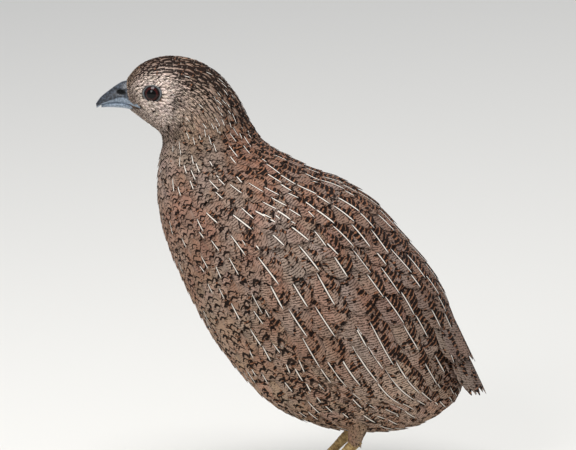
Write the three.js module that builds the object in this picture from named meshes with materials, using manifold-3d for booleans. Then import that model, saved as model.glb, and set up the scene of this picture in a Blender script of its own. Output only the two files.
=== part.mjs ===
// A brown quail standing alert, life size, as a still museum model: head high, back sloping down to a
// short drooping tail, wings folded. Millimetres, +Z up. The bird faces -Y, and its left side is +X.
// The origin is on the floor under the middle of the bird's box.
import * as THREE from "three";
import { mergeVertices } from "three/addons/utils/BufferGeometryUtils.js";
import Module from "manifold-3d";

const wasm = await Module();
wasm.setup();

const GAP = 0.3; // between nodes that touch
const TURN = 2 * Math.PI;
const DEGREE = Math.PI / 180;

// The plumage's outer form, from the bill's base to the vent, as flat slices across the bird. Each row
// holds the slice's belly-side edge and its back edge, both as [ahead, up], half its width, and how far
// its widest level lies above the middle, as a share of its half height.
const SLICES = [
  { under: [58.6, 136.9], over: [59.6, 145.2], half: 3.4, skew: 0.0 }, // bill's base
  { under: [55.3, 134.6], over: [55.2, 150.8], half: 6.3, skew: -0.1 },
  { under: [50.8, 131.2], over: [50.0, 153.9], half: 8.7, skew: -0.12 }, // eyes
  { under: [47.6, 128.8], over: [42.5, 155.2], half: 9.9, skew: -0.12 },
  { under: [46.3, 126.8], over: [33.5, 153.4], half: 10.5, skew: -0.1 }, // crown and cheeks
  { under: [46.0, 124.8], over: [25.2, 148.0], half: 10.8, skew: -0.06 },
  { under: [46.2, 122.8], over: [19.0, 139.8], half: 11.4, skew: 0.0 }, // nape
  { under: [46.8, 120.4], over: [14.6, 131.0], half: 12.6, skew: 0.0 },
  { under: [47.7, 116.0], over: [9.6, 124.2], half: 15.2, skew: 0.0 }, // neck
  { under: [48.0, 107.6], over: [1.5, 119.4], half: 19.4, skew: 0.0 },
  { under: [47.0, 98.0], over: [-7.5, 114.6], half: 24.0, skew: 0.0 }, // shoulders
  { under: [43.8, 86.5], over: [-17.5, 110.8], half: 27.6, skew: 0.0 },
  { under: [38.0, 72.5], over: [-29.0, 103.0], half: 29.6, skew: -0.03 }, // breast
  { under: [30.0, 57.0], over: [-39.5, 90.4], half: 30.2, skew: -0.05 },
  { under: [19.5, 42.5], over: [-47.5, 78.5], half: 29.2, skew: -0.06 }, // flanks
  { under: [8.0, 31.0], over: [-52.5, 67.0], half: 26.6, skew: -0.06 },
  { under: [-6.0, 24.0], over: [-56.0, 55.5], half: 22.4, skew: -0.05 }, // belly
  { under: [-22.0, 20.8], over: [-58.2, 45.5], half: 17.0, skew: 0.0 },
  { under: [-38.0, 20.8], over: [-59.8, 37.0], half: 10.6, skew: 0.0 }, // vent
  { under: [-50.0, 23.5], over: [-60.5, 31.0], half: 4.0, skew: 0.0 },
];
const LAST_SLICE = SLICES.length - 1;
const ROUND_BODY = 30;
const ALONG_BODY = 50;

// Where the body is parted, as slice numbers.
const HEAD_END = 5.7;
const NECK_END = 9.2;

// Upper and lower half of the bill, as slices like the body's: the root is inside the head.
const UPPER_BILL = [
  { under: [53.5, 137.4], over: [56.0, 146.6], half: 3.5, skew: -0.2 },
  { under: [58.2, 138.4], over: [59.6, 146.1], half: 3.4, skew: -0.25 },
  { under: [61.4, 138.6], over: [62.3, 144.6], half: 3.0, skew: -0.25 },
  { under: [64.4, 138.5], over: [65.0, 142.6], half: 2.4, skew: -0.25 },
  { under: [66.9, 137.9], over: [67.4, 140.6], half: 1.6, skew: -0.2 },
  { under: [68.8, 136.7], over: [69.1, 138.3], half: 0.7, skew: 0.0 },
];
const LOWER_BILL = [
  { under: [54.5, 134.0], over: [54.0, 136.6], half: 3.0, skew: 0.2 },
  { under: [58.6, 135.7], over: [58.3, 138.0], half: 2.9, skew: 0.25 },
  { under: [61.6, 136.2], over: [61.5, 138.2], half: 2.5, skew: 0.25 },
  { under: [64.6, 136.5], over: [64.5, 138.1], half: 1.8, skew: 0.25 },
  { under: [66.9, 136.7], over: [66.8, 137.5], half: 1.0, skew: 0.2 },
];
const NOSTRIL = { ahead: 60.3, up: 142.8, long: 3.2, high: 1.9, deep: 0.9 };
const NOSTRIL_LID = { ahead: 59.8, up: 144.1, long: 3.6, high: 1.1, proud: 0.45 };

const EYE = { ahead: 49.4, up: 143.4, radius: 3.3, open: 2.65 };
const EYE_FORWARD = 14 * DEGREE; // how far each eye looks ahead of straight sideways
const LID = { ring: 2.85, thick: 0.55 };
const MOUTH = { from: [60.5, 138.25], to: [54.4, 138.1], open: 0.45 }; // the slit back to the mouth's corner
const EAR = { ahead: 40.3, up: 138.0, wide: 2.6, deep: 0.8 };

// A wing lies on the body from the wrist to the primaries' tips. Its place is told by how far along it is,
// from 0 to 1, and how far across, from -1 at its back edge to 1 at its belly edge. The lists hold its
// middle and its half width, as degrees round the body from the back, at even steps along.
const WING = { start: 9.7, end: 17.6, chord: 97, under: 0.4, thick: 1.5, around: 12, along: 14 };
const WING_MIDDLE = [84, 84, 82, 80, 78, 75, 72, 70, 68];
const WING_SPREAD = [10, 25, 33, 37, 38, 37, 33, 25, 8];

// The wing's feathers, tier by tier. Each tier's roots lie evenly between two places [along, across].
const WING_TIERS = [
  { count: 4, from: [0.0, -0.5], to: [0.03, 0.65], length: 15, width: 12, rise: 0.9 }, // lesser coverts
  { count: 5, from: [0.12, -0.6], to: [0.14, 0.8], length: 16, width: 12, rise: 0.9 },
  { count: 5, from: [0.24, -0.55], to: [0.26, 0.85], length: 18, width: 13.5, rise: 0.9 }, // median coverts
  { count: 5, from: [0.37, -0.55], to: [0.39, 0.88], length: 23, width: 14, rise: 0.9 }, // greater coverts
  { count: 5, from: [0.52, -0.5], to: [0.55, 0.8], length: 31, width: 13, rise: 0.8, long: true }, // secondaries
  { count: 4, from: [0.67, -0.1], to: [0.69, 0.85], length: 33, width: 11, rise: 0.7, long: true }, // primaries
  { count: 2, from: [0.47, -0.95], to: [0.5, -0.6], length: 38, width: 14, rise: 1.3, long: true }, // tertials
  { count: 2, from: [0.09, -1.0], to: [0.11, -0.65], length: 20, width: 13, rise: 1.3 }, // scapulars
  { count: 2, from: [0.22, -1.0], to: [0.24, -0.65], length: 22, width: 13, rise: 1.4 },
  { count: 2, from: [0.36, -1.0], to: [0.38, -0.62], length: 24, width: 13, rise: 1.6 },
];

// A feather's own form: rows from root to tip, each with its share of the length and of the width. Both
// ends of a row lie back from its middle by bow, a share of the length, which rounds the tip.
const SHORT_VANE = [
  { along: 0, width: 0.55, bow: 0 },
  { along: 0.55, width: 1, bow: 0 },
  { along: 1, width: 0.62, bow: 0.16 },
];
const LONG_VANE = [
  { along: 0, width: 0.5, bow: 0 },
  { along: 0.42, width: 1, bow: 0 },
  { along: 0.8, width: 0.94, bow: 0.03 },
  { along: 1, width: 0.5, bow: 0.08 },
];
const VANE_THICK = 0.6;
const VANE_CREST = 0.18; // how far the shaft stands over the vane's edges
const VANE_SUNK = 0.8; // how deep a root lies in what carries it
const VANE_TILT = 0.28; // how much the belly-side edge is raised over the next feather
const VANE_UNLIKE = 0.06; // how much feathers of one tier differ in length and width

// The tail leaves the rump and droops. Its plane is given by its root and by how steeply it falls.
const TAIL = { root: [-52.5, 67.5], fall: 66 * DEGREE, half: 7, thick: 1.3, core: 24, arch: 0.03 };
const TAIL_TIERS = [
  { count: 8, from: -2, length: 38.5, width: 8.5, spread: 1.3, fan: 1.7, height: 0.2, rise: 0.3, step: 0.4, shorter: 0.8 },
  { count: 5, from: -6, length: 24, width: 8.5, spread: 2.5, fan: 2.4, height: 0.9, rise: 1.2, step: 0.3, shorter: 0.9 },
  { count: 4, from: 4, length: 24, width: 8, spread: 3.0, fan: 2.4, height: -2.8, rise: 0.6, step: -0.3, shorter: 0.8 },
];

// Each leg stands on its own foot, placed where the bird's weight is over its toes.
const LEG = { left: 13.5, ahead: -7, toeOut: 9 * DEGREE };
const HOCK = [-19, 24]; // behind the foot and up, seen from the foot's middle
const SHANK = { top: 2.1, middle: 1.45, bottom: 1.9, foot: 3.6 };
const MUFF = { top: 8.5, bottom: 2.7, reach: 0.3 }; // feathers of the leg, down to this share of the shank
const TOES = [
  { name: "inner", turn: 38, length: 14.5, root: 1.55, tip: 0.95, lift: 0 },
  { name: "middle", turn: 0, length: 19.5, root: 1.7, tip: 1.0, lift: 0 },
  { name: "outer", turn: -36, length: 15.5, root: 1.55, tip: 0.95, lift: 0 },
  { name: "hind", turn: 168, length: 6.5, root: 1.25, tip: 0.8, lift: 0.9 },
];
const CLAW = { length: 4.2, root: 0.75, drop: 0.55 };
const SOLE_CUT = 0.35; // how much of the toes' round undersides is flat on the floor

const BROWN = { color: 0x6b4c38, roughness: 0.85, metalness: 0 };
const FACE_BROWN = { color: 0x8a6c55, roughness: 0.85, metalness: 0 };
const WING_BROWN = { color: 0x5f4534, roughness: 0.8, metalness: 0 };
const TAIL_BROWN = { color: 0x4b382c, roughness: 0.8, metalness: 0 };
const UPPER_HORN = { color: 0x2f343f, roughness: 0.4, metalness: 0 };
const LOWER_HORN = { color: 0x7d8c98, roughness: 0.4, metalness: 0 };
const EYE_RED = { color: 0x3a0c0a, roughness: 0.05, metalness: 0 };
const SHANK_YELLOW = { color: 0xb08a4a, roughness: 0.6, metalness: 0 };
const CLAW_HORN = { color: 0x3d3028, roughness: 0.45, metalness: 0 };

// A point from how far it lies ahead, to the bird's left and up.
const at = (ahead, left, up) => new THREE.Vector3(left, -ahead, up);

// A smooth curve through evenly numbered values, straight on past both ends.
function through(values, where) {
  const last = values.length - 1;
  const value = (i) => {
    if (i < 0) return 2 * values[0] - values[1];
    if (i > last) return 2 * values[last] - values[last - 1];
    return values[i];
  };
  const i = Math.max(0, Math.min(Math.floor(where), last - 1));
  const t = where - i;
  const [a, b, c, d] = [value(i - 1), value(i), value(i + 1), value(i + 2)];
  return b + (t * (c - a + t * (2 * a - 5 * b + 4 * c - d + t * (3 * (b - c) + d - a)))) / 2;
}

// The slice at a number between two rows of a table of slices.
function sliceOf(table, s) {
  const read = (pick) => through(table.map(pick), s);
  return {
    under: [read((row) => row.under[0]), read((row) => row.under[1])],
    over: [read((row) => row.over[0]), read((row) => row.over[1])],
    half: read((row) => row.half),
    skew: read((row) => row.skew),
  };
}

// The middle of a slice.
function middleOf(table, s) {
  const { under, over } = sliceOf(table, s);
  return at((under[0] + over[0]) / 2, 0, (under[1] + over[1]) / 2);
}

// The point at slice s and angle a round it: 0 on the back, a quarter turn at the left side.
function surface(table, s, a) {
  const { under, over, half, skew } = sliceOf(table, s);
  const rise = Math.cos(a) + skew * Math.sin(a) ** 2;
  const share = (1 + rise) / 2;
  return at(
    under[0] + (over[0] - under[0]) * share,
    half * Math.sin(a),
    under[1] + (over[1] - under[1]) * share,
  );
}

// The same point, lifted off the surface along its normal.
function lifted(table, s, a, lift) {
  const small = 0.02;
  const along = surface(table, s + small, a).sub(surface(table, s - small, a));
  const round = surface(table, s, a + small).sub(surface(table, s, a - small));
  return surface(table, s, a).addScaledVector(round.cross(along).normalize(), lift);
}

// Moves each vertex of a closed three.js geometry to where its u and v say, and merges what meets.
function shaped(geometry, place) {
  const { position, uv } = geometry.attributes;
  for (let i = 0; i < position.count; i++) {
    const p = place(uv.getX(i), uv.getY(i));
    position.setXYZ(i, p.x, p.y, p.z);
  }
  return geometry;
}

// A three.js geometry as a solid, with its faces turned outwards.
function solid(geometry) {
  const bare = new THREE.BufferGeometry();
  bare.setAttribute("position", geometry.getAttribute("position"));
  bare.setIndex(geometry.index);
  const merged = mergeVertices(bare, 1e-3);
  const made = (triVerts) =>
    new wasm.Manifold(
      new wasm.Mesh({ numProp: 3, vertProperties: merged.attributes.position.array, triVerts }),
    );
  const faces = new Uint32Array(merged.index.array);
  const first = made(faces);
  return first.volume() > 0 ? first : made(faces.reverse());
}

// A solid's largest closed surface alone: no sealed hollow and no loose scrap.
const largest = (made) => made.decompose().reduce((a, b) => (b.volume() > a.volume() ? b : a));

const joined = (pieces) => largest(pieces.reduce((sum, piece) => sum.add(piece)));

// One named sub-part from a solid.
function part(name, made, finish) {
  const { vertProperties, triVerts } = largest(made).getMesh();
  const geometry = new THREE.BufferGeometry();
  geometry.setAttribute("position", new THREE.BufferAttribute(vertProperties, 3));
  geometry.setIndex(new THREE.BufferAttribute(triVerts, 1));
  geometry.computeVertexNormals();
  const mesh = new THREE.Mesh(geometry, new THREE.MeshStandardMaterial(finish));
  mesh.name = name;
  return mesh;
}

// A closed form through a table of slices, grown by a lift, with a pole at each end.
function form(table, around, along, lift = 0) {
  const last = table.length - 1;
  const pole = (end, inner) => {
    const tip = middleOf(table, end);
    return tip.addScaledVector(tip.clone().sub(middleOf(table, inner)).normalize(), lift);
  };
  return solid(
    shaped(new THREE.SphereGeometry(1, around, along), (u, v) => {
      const s = Math.round((1 - v) * along) * (last / along);
      if (s < 1e-6) return pole(0, 0.5);
      if (s > last - 1e-6) return pole(last, last - 0.5);
      return lifted(table, s, (Math.round(u * around) % around) * (TURN / around), lift);
    }),
  );
}

// A round limb along a curve. The radius follows the share of the way along; side is square to the curve.
function limb(points, radius, side, around, along) {
  const curve = new THREE.CatmullRomCurve3(points);
  return solid(
    shaped(new THREE.SphereGeometry(1, around, along), (u, v) => {
      const t = Math.round((1 - v) * along) / along;
      const centre = curve.getPoint(t);
      if (t === 0 || t === 1) return centre;
      const a = (Math.round(u * around) % around) * (TURN / around);
      const other = curve.getTangent(t).cross(side).normalize();
      return centre
        .addScaledVector(side, radius(t) * Math.sin(a))
        .addScaledVector(other, radius(t) * Math.cos(a));
    }),
  );
}

// A repeatable small difference between like pieces, from -1 to 1.
const unlike = (n) => 2 * ((Math.abs(Math.sin(12.9898 * (n + 1))) * 43758.5453) % 1) - 1;

// One feather as a thin slab. place gives the point at (across, along, height): across from -1 to 1,
// along from 0 at the root to 1 at the tip. over and below give the heights of its two faces there.
function vane(rows, place, over, below) {
  const sides = [-1, 0, 1];
  const points = [];
  for (const face of [over, below]) {
    for (const { along, width, bow } of rows) {
      for (const u of sides) {
        const [across, far] = [u * width, along - bow * u * u];
        const crest = face === over ? VANE_CREST * (1 - u * u) : 0;
        points.push(place(across, far, face(across, far) + crest));
      }
    }
  }
  const under = rows.length * sides.length;
  const faces = [];
  const wall = (i, j) => faces.push(i, i + under, j, j, i + under, j + under);
  for (let row = 0; row < rows.length - 1; row++) {
    for (const i of [3 * row, 3 * row + 1]) {
      faces.push(i, i + 1, i + 4, i, i + 4, i + 3);
      faces.push(under + i, under + i + 4, under + i + 1, under + i, under + i + 3, under + i + 4);
    }
    wall(3 * row + 3, 3 * row);
    wall(3 * row + 2, 3 * row + 5);
  }
  const last = under - 3;
  wall(0, 1);
  wall(1, 2);
  wall(last + 1, last);
  wall(last + 2, last + 1);
  const geometry = new THREE.BufferGeometry();
  geometry.setAttribute("position", new THREE.Float32BufferAttribute(points.flatMap((p) => p.toArray()), 3));
  geometry.setIndex(faces);
  return solid(geometry);
}

// The plane of a slice, as a normal that points to the tail and its offset.
function cutPlane(s) {
  const { under, over } = sliceOf(SLICES, s);
  const up = at(over[0], 0, over[1]).sub(at(under[0], 0, under[1]));
  const normal = new THREE.Vector3(1, 0, 0).cross(up).normalize();
  const ahead = middleOf(SLICES, s);
  if (normal.dot(middleOf(SLICES, s + 0.5).sub(ahead)) < 0) normal.negate();
  return { normal: normal.toArray(), offset: normal.dot(ahead) };
}

const before = (made, { normal, offset }) =>
  made.trimByPlane(normal.map((x) => -x), GAP / 2 - offset);
const behind = (made, { normal, offset }) => made.trimByPlane(normal, offset + GAP / 2);

const body = form(SLICES, ROUND_BODY, ALONG_BODY);
const bodyGrown = form(SLICES, ROUND_BODY, ALONG_BODY, GAP);
const headPlane = cutPlane(HEAD_END);
const neckPlane = cutPlane(NECK_END);
const SIDES = [
  { word: "left", sign: 1 },
  { word: "right", sign: -1 },
];

// Eyes: the ball, its middle and the way it looks.
function eyeOf(sign) {
  const s = 2.0;
  const look = new THREE.Vector3(
    sign * Math.cos(EYE_FORWARD),
    -Math.sin(EYE_FORWARD),
    0.03,
  ).normalize();
  const width = sliceOf(SLICES, s).half;
  const sunk = Math.sqrt(EYE.radius ** 2 - EYE.open ** 2);
  const middle = at(EYE.ahead, sign * (width - 0.15), EYE.up).addScaledVector(look, -sunk);
  return { look, middle, sunk };
}

const ball = (middle, radius, around, along) => {
  const geometry = new THREE.SphereGeometry(radius, around, along);
  geometry.translate(middle.x, middle.y, middle.z);
  return solid(geometry);
};

// The ring of lid round one eye.
function lidOf({ look, middle, sunk }) {
  const geometry = new THREE.TorusGeometry(LID.ring, LID.thick, 6, 18);
  const turn = new THREE.Quaternion().setFromUnitVectors(new THREE.Vector3(0, 0, 1), look);
  geometry.applyQuaternion(turn);
  const rim = middle.clone().addScaledVector(look, sunk - 0.1);
  geometry.translate(rim.x, rim.y, rim.z);
  return solid(geometry);
}

// A ball squeezed to a lens, to raise or to sink.
function lens(middle, sizes, tilt) {
  const geometry = new THREE.SphereGeometry(1, 10, 6);
  geometry.scale(...sizes);
  geometry.rotateX(tilt);
  geometry.translate(middle.x, middle.y, middle.z);
  return solid(geometry);
}

// The slit of the mouth, from the bill's base back to its corner.
function mouthSlit() {
  const [from, to] = [MOUTH.from, MOUTH.to];
  const long = Math.hypot(from[0] - to[0], from[1] - to[1]);
  const geometry = new THREE.BoxGeometry(24, long, MOUTH.open);
  geometry.rotateX(-Math.atan2(from[1] - to[1], from[0] - to[0]));
  const middle = at((from[0] + to[0]) / 2, 0, (from[1] + to[1]) / 2);
  geometry.translate(middle.x, middle.y, middle.z);
  return solid(geometry);
}

const bird = new THREE.Group();
bird.name = "brown_quail";

let head = before(body, headPlane).subtract(mouthSlit());
for (const { word, sign } of SIDES) {
  const eye = eyeOf(sign);
  head = head.add(lidOf(eye)).subtract(ball(eye.middle, EYE.radius + GAP, 18, 10));
  const earWidth = sliceOf(SLICES, 3.4).half;
  const ear = at(EAR.ahead, sign * (earWidth + 0.3), EAR.up);
  head = head.subtract(lens(ear, [EAR.deep, EAR.wide / 2, EAR.wide / 2], 0));
  bird.add(part(`eye_${word}`, ball(eye.middle, EYE.radius, 16, 12), EYE_RED));
}
bird.add(part("head", head, FACE_BROWN));
bird.add(part("neck", before(behind(body, headPlane), neckPlane), BROWN));
bird.add(part("torso", behind(body, neckPlane), BROWN));

// Bill: a nostril on each side, under a soft lid.
let upperBill = form(UPPER_BILL, 16, 12);
for (const { sign } of SIDES) {
  const side = (spot, out) => at(spot.ahead, sign * out, spot.up);
  upperBill = upperBill.add(
    lens(side(NOSTRIL_LID, 1.3), [1 + NOSTRIL_LID.proud, NOSTRIL_LID.long / 2, NOSTRIL_LID.high / 2], 0.6),
  );
  upperBill = upperBill.subtract(
    lens(side(NOSTRIL, 3.0), [NOSTRIL.deep, NOSTRIL.long / 2, NOSTRIL.high / 2], 0.5),
  );
}
bird.add(part("bill_upper", upperBill.subtract(bodyGrown), UPPER_HORN));
bird.add(part("bill_lower", form(LOWER_BILL, 12, 9).subtract(bodyGrown), LOWER_HORN));

// A point of one wing, from how far along and across it lies, at a height over the wing's own surface.
function wingPoint(sign, along, across, height) {
  const steps = WING_MIDDLE.length - 1;
  const s = WING.start + (WING.end - WING.start) * along;
  const a = through(WING_MIDDLE, along * steps) + through(WING_SPREAD, along * steps) * across;
  return lifted(SLICES, s, sign * a * DEGREE, height);
}

// How far the wing's surface stands off the body there.
const wingRise = (along, across) => {
  const inside = Math.max(0, Math.sin(Math.PI * Math.min(1, Math.max(0, along))));
  return GAP + WING.under + WING.thick * Math.sqrt(Math.max(0, 1 - across * across) * inside);
};

// What the feathers are rooted in: a thin lens that lies on the body from the wrist to the tip.
function wingCore(sign) {
  const { around, along } = WING;
  return solid(
    shaped(new THREE.SphereGeometry(1, around, along), (u, v) => {
      const far = Math.round((1 - v) * along) / along;
      const turn = (Math.round(u * around) % around) * (TURN / around);
      const across = far === 0 || far === 1 ? 0 : Math.cos(turn);
      const out = Math.sin(turn) > 0.01 && far > 0 && far < 1;
      return wingPoint(sign, far, across, out ? wingRise(far, across) : GAP + WING.under);
    }),
  );
}

// All the feathers of one tier of a wing.
function wingTier(sign, { count, from, to, length, width, rise, long }, tier) {
  const rows = long ? LONG_VANE : SHORT_VANE;
  return Array.from({ length: count }, (_, i) => {
    const share = count > 1 ? i / (count - 1) : 0;
    const seed = 100 * tier + 10 * i + sign;
    const root = from[0] + (to[0] - from[0]) * share;
    const middle = from[1] + (to[1] - from[1]) * share;
    const full = (length / WING.chord) * (1 + VANE_UNLIKE * unlike(seed));
    const heart = root + full / 2;
    const step = 0.1;
    const breadth = wingPoint(sign, heart, middle, 0).distanceTo(wingPoint(sign, heart, middle + step, 0));
    const half = ((width / 2) * step * (1 + VANE_UNLIKE * unlike(seed + 1))) / breadth;
    const place = (u, v, height) => wingPoint(sign, root + full * v, middle + half * u, height);
    const below = (u, v) => Math.max(wingRise(root + full * v, middle) - VANE_SUNK, GAP + WING.under + 0.1);
    const over = (u, v) =>
      below(u, v) + VANE_THICK + Math.max(0, (rise + VANE_SUNK) * v ** 0.8 + VANE_TILT * u - VANE_THICK / 2);
    return vane(rows, place, over, below);
  });
}

for (const { word, sign } of SIDES) {
  const feathers = WING_TIERS.flatMap((tier, i) => wingTier(sign, tier, i));
  bird.add(part(`wing_${word}`, joined([wingCore(sign), ...feathers]), WING_BROWN));
}

// A point of the tail, from how far it is along from the root, to the left and out of its plane.
function tailPoint(along, left, out) {
  const [ahead, up] = TAIL.root;
  const low = out - TAIL.arch * left * left;
  return at(
    ahead - along * Math.cos(TAIL.fall) - low * Math.sin(TAIL.fall),
    left,
    up - along * Math.sin(TAIL.fall) + low * Math.cos(TAIL.fall),
  );
}

// What the tail feathers are rooted in.
const tailCore = solid(
  shaped(new THREE.SphereGeometry(1, 12, 8), (u, v) => {
    const along = Math.cos(Math.PI * v);
    const turn = (Math.round(u * 12) % 12) * (TURN / 12);
    const full = Math.sqrt(Math.max(0, 1 - along * along));
    return tailPoint(
      TAIL.core * (0.35 + along / 2),
      TAIL.half * full * Math.sin(turn),
      TAIL.thick * (full * Math.cos(turn) - 0.5),
    );
  }),
);

// All the feathers of one tier of the tail, as a fan with its middle feathers on top.
function tailTier({ count, from, length, width, spread, fan, height, rise, step, shorter }, tier) {
  return Array.from({ length: count }, (_, i) => {
    const off = i - (count - 1) / 2;
    const seed = 1000 + 100 * tier + i;
    const turn = off * fan * DEGREE;
    const full = (length - shorter * Math.abs(off)) * (1 + (VANE_UNLIKE / 3) * unlike(seed));
    const base = height - step * Math.abs(off);
    const side = (width / 2) * (1 + VANE_UNLIKE * unlike(seed + 50));
    const place = (u, v, out) =>
      tailPoint(
        from + full * v * Math.cos(turn) - side * u * Math.sin(turn),
        off * spread + full * v * Math.sin(turn) + side * u * Math.cos(turn),
        out,
      );
    const below = (u, v) => height - step * Math.abs(off) + rise * v - 0.15 * u * Math.sign(off);
    const over = (u, v) => below(u, v) + VANE_THICK;
    return vane(LONG_VANE, place, over, below);
  });
}

const tail = joined([tailCore, ...TAIL_TIERS.flatMap(tailTier)]).subtract(bodyGrown);
bird.add(part("tail", tail, TAIL_BROWN));

// Legs: a muff of feathers, a bare shank, a foot with four toes, and a claw on each toe.
for (const { word, sign } of SIDES) {
  const stand = new THREE.Matrix4()
    .makeTranslation(sign * LEG.left, -LEG.ahead, 0)
    .multiply(new THREE.Matrix4().makeRotationZ(sign * LEG.toeOut));
  const place = (ahead, left, up) => at(ahead, sign * left, up).applyMatrix4(stand);
  const sideways = new THREE.Vector3(1, 0, 0).transformDirection(stand);
  const upwards = new THREE.Vector3(0, 0, 1);
  const radiusOf = (toe) => (t) =>
    (toe.root + (toe.tip - toe.root) * t) * (1 + 0.1 * Math.cos(3 * TURN * t)) * Math.min(1, 6 * (1 - t) + 0.35);

  const toePath = (toe) => {
    const turn = toe.turn * DEGREE;
    const out = (share) => {
      const reach = toe.length * share;
      const up = toe.root * (1 - SOLE_CUT) + toe.lift * (1 - share) + 0.35 * Math.sin(Math.PI * share);
      return place(reach * Math.cos(turn), -reach * Math.sin(turn), up - 0.4 * share);
    };
    return [0, 0.3, 0.65, 1].map(out);
  };
  const toeSolid = (toe, extra) => limb(toePath(toe), (t) => radiusOf(toe)(t) + extra, upwards.clone(), 7, 8);
  const pad = lens(place(0.5, 0, 1.6), [3.0, 3.4, 2.2], 0);
  const foot = joined([pad, ...TOES.map((toe) => toeSolid(toe, 0))]).trimByPlane([0, 0, 1], 0);
  bird.add(part(`foot_${word}`, foot, SHANK_YELLOW));

  const hock = place(HOCK[0], 0, HOCK[1]);
  const sole = place(0, 0, SHANK.foot);
  const shankRadius = (t) =>
    t < 0.5
      ? SHANK.top + (SHANK.middle - SHANK.top) * 2 * t
      : SHANK.middle + (SHANK.bottom - SHANK.middle) * (2 * t - 1);
  const shank = limb([hock, hock.clone().lerp(sole, 0.5), sole], shankRadius, sideways, 10, 8);
  const padGrown = lens(place(0.5, 0, 1.6), [3.0 + GAP, 3.4 + GAP, 2.2 + GAP], 0);
  const footGrown = joined([padGrown, ...TOES.map((toe) => toeSolid(toe, GAP))]);

  const knee = place(HOCK[0] + 13, -1, HOCK[1] + 16);
  const cuffEnd = hock.clone().lerp(sole, MUFF.reach);
  const cuffRadius = (t) => MUFF.bottom + (MUFF.top - MUFF.bottom) * (1 - t) ** 1.3;
  const muff = limb([knee, hock.clone().lerp(knee, 0.35), cuffEnd], cuffRadius, sideways, 14, 10);
  const cuffGrown = limb(
    [knee, hock.clone().lerp(knee, 0.35), cuffEnd],
    (t) => cuffRadius(t) + GAP,
    sideways,
    14,
    10,
  );
  bird.add(part(`thigh_${word}`, muff.subtract(bodyGrown), BROWN));
  const shankShown = shank.subtract(footGrown).subtract(cuffGrown).subtract(bodyGrown);
  bird.add(part(`shank_${word}`, shankShown, SHANK_YELLOW));

  for (const toe of TOES) {
    const path = toePath(toe);
    const tip = path[3];
    const way = tip.clone().sub(path[2]).setZ(0).normalize();
    const claw = limb(
      [
        tip.clone().addScaledVector(way, -0.8),
        tip.clone().addScaledVector(way, CLAW.length * 0.5).add(new THREE.Vector3(0, 0, 0.15)),
        tip.clone().addScaledVector(way, CLAW.length).setZ(CLAW.drop - 0.25),
      ],
      (t) => CLAW.root * (1 - 0.85 * t),
      upwards,
      6,
      5,
    );
    const cleared = claw.subtract(toeSolid(toe, GAP)).trimByPlane([0, 0, 1], 0);
    bird.add(part(`claw_${word}_${toe.name}`, cleared, CLAW_HORN));
  }
}

export default bird;
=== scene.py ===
# A brown quail, life size, standing on a plain floor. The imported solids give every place; this script
# gives the skin, the feathers, the bill, the eyes and the scaled legs. Sizes are in millimetres until
# a mesh is made. The bird faces -Y, its left side is +X and up is +Z.
import math

import bmesh
import bpy
import numpy as np
from mathutils import Matrix, Vector


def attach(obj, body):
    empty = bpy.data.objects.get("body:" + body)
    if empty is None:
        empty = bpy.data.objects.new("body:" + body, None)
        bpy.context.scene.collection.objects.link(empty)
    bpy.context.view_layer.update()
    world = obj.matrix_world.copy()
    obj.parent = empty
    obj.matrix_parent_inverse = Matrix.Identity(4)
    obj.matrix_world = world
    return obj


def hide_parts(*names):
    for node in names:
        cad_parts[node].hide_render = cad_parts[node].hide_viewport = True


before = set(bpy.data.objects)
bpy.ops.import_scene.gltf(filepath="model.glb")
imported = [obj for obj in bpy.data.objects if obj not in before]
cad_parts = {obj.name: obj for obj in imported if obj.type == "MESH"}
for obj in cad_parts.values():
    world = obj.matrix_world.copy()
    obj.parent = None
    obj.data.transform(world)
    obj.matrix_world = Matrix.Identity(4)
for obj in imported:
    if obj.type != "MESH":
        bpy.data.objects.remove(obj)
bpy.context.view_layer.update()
MM = 0.001

# The stage: a plain pale floor, soft light from above and from the camera's side, and a camera that
# sees the bird's left side as the photograph does, from a long way off as through a long lens.
PIXEL = 0.35  # millimetres of the bird to one pixel of the 576 x 450 frame
FRAME_WIDE = 576
VIEW_DISTANCE = 3000
VIEW_ELEVATION = math.radians(12)
VIEW_CENTRE = Vector((0, -2.1, 94.9))  # the point of the bird at the middle of the frame
LIGHTS_AIM = Vector((0, 0, 0.08))  # metres
FLOOR_HALF = 6  # metres

looks_along = Vector((-math.cos(VIEW_ELEVATION), 0, -math.sin(VIEW_ELEVATION)))
camera = bpy.data.objects.new("camera", bpy.data.cameras.new("camera"))
camera.location = (VIEW_CENTRE - looks_along * VIEW_DISTANCE) * MM
camera.rotation_euler = looks_along.to_track_quat("-Z", "Y").to_euler()
camera.data.sensor_width = 36
camera.data.lens = camera.data.sensor_width * VIEW_DISTANCE / (FRAME_WIDE * PIXEL)
camera.data.clip_end = 20
bpy.context.collection.objects.link(camera)
bpy.context.scene.camera = camera
bpy.context.scene.view_settings.view_transform = "Standard"

world = bpy.data.worlds.new("soft_room")
world.use_nodes = True
world.node_tree.nodes["Background"].inputs["Color"].default_value = (0.86, 0.9, 1.0, 1)
world.node_tree.nodes["Background"].inputs["Strength"].default_value = 0.42
bpy.context.scene.world = world

SOFT_LIGHTS = {  # place, size across and watts
    "sky_panel": ((0.3, -0.2, 1.2), 0.7, 14.0),
    "side_panel": ((1.3, -0.75, 0.95), 0.7, 9.0),
    "back_panel": ((-0.9, 1.0, 0.9), 0.8, 6.0),
}
for name, (place, across, power) in SOFT_LIGHTS.items():
    panel = bpy.data.objects.new(name, bpy.data.lights.new(name, "AREA"))
    panel.data.shape = "DISK"
    panel.data.size = across
    panel.data.energy = power
    panel.location = place
    aim = LIGHTS_AIM - panel.location
    panel.rotation_euler = aim.to_track_quat("-Z", "Y").to_euler()
    bpy.context.collection.objects.link(panel)


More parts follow.
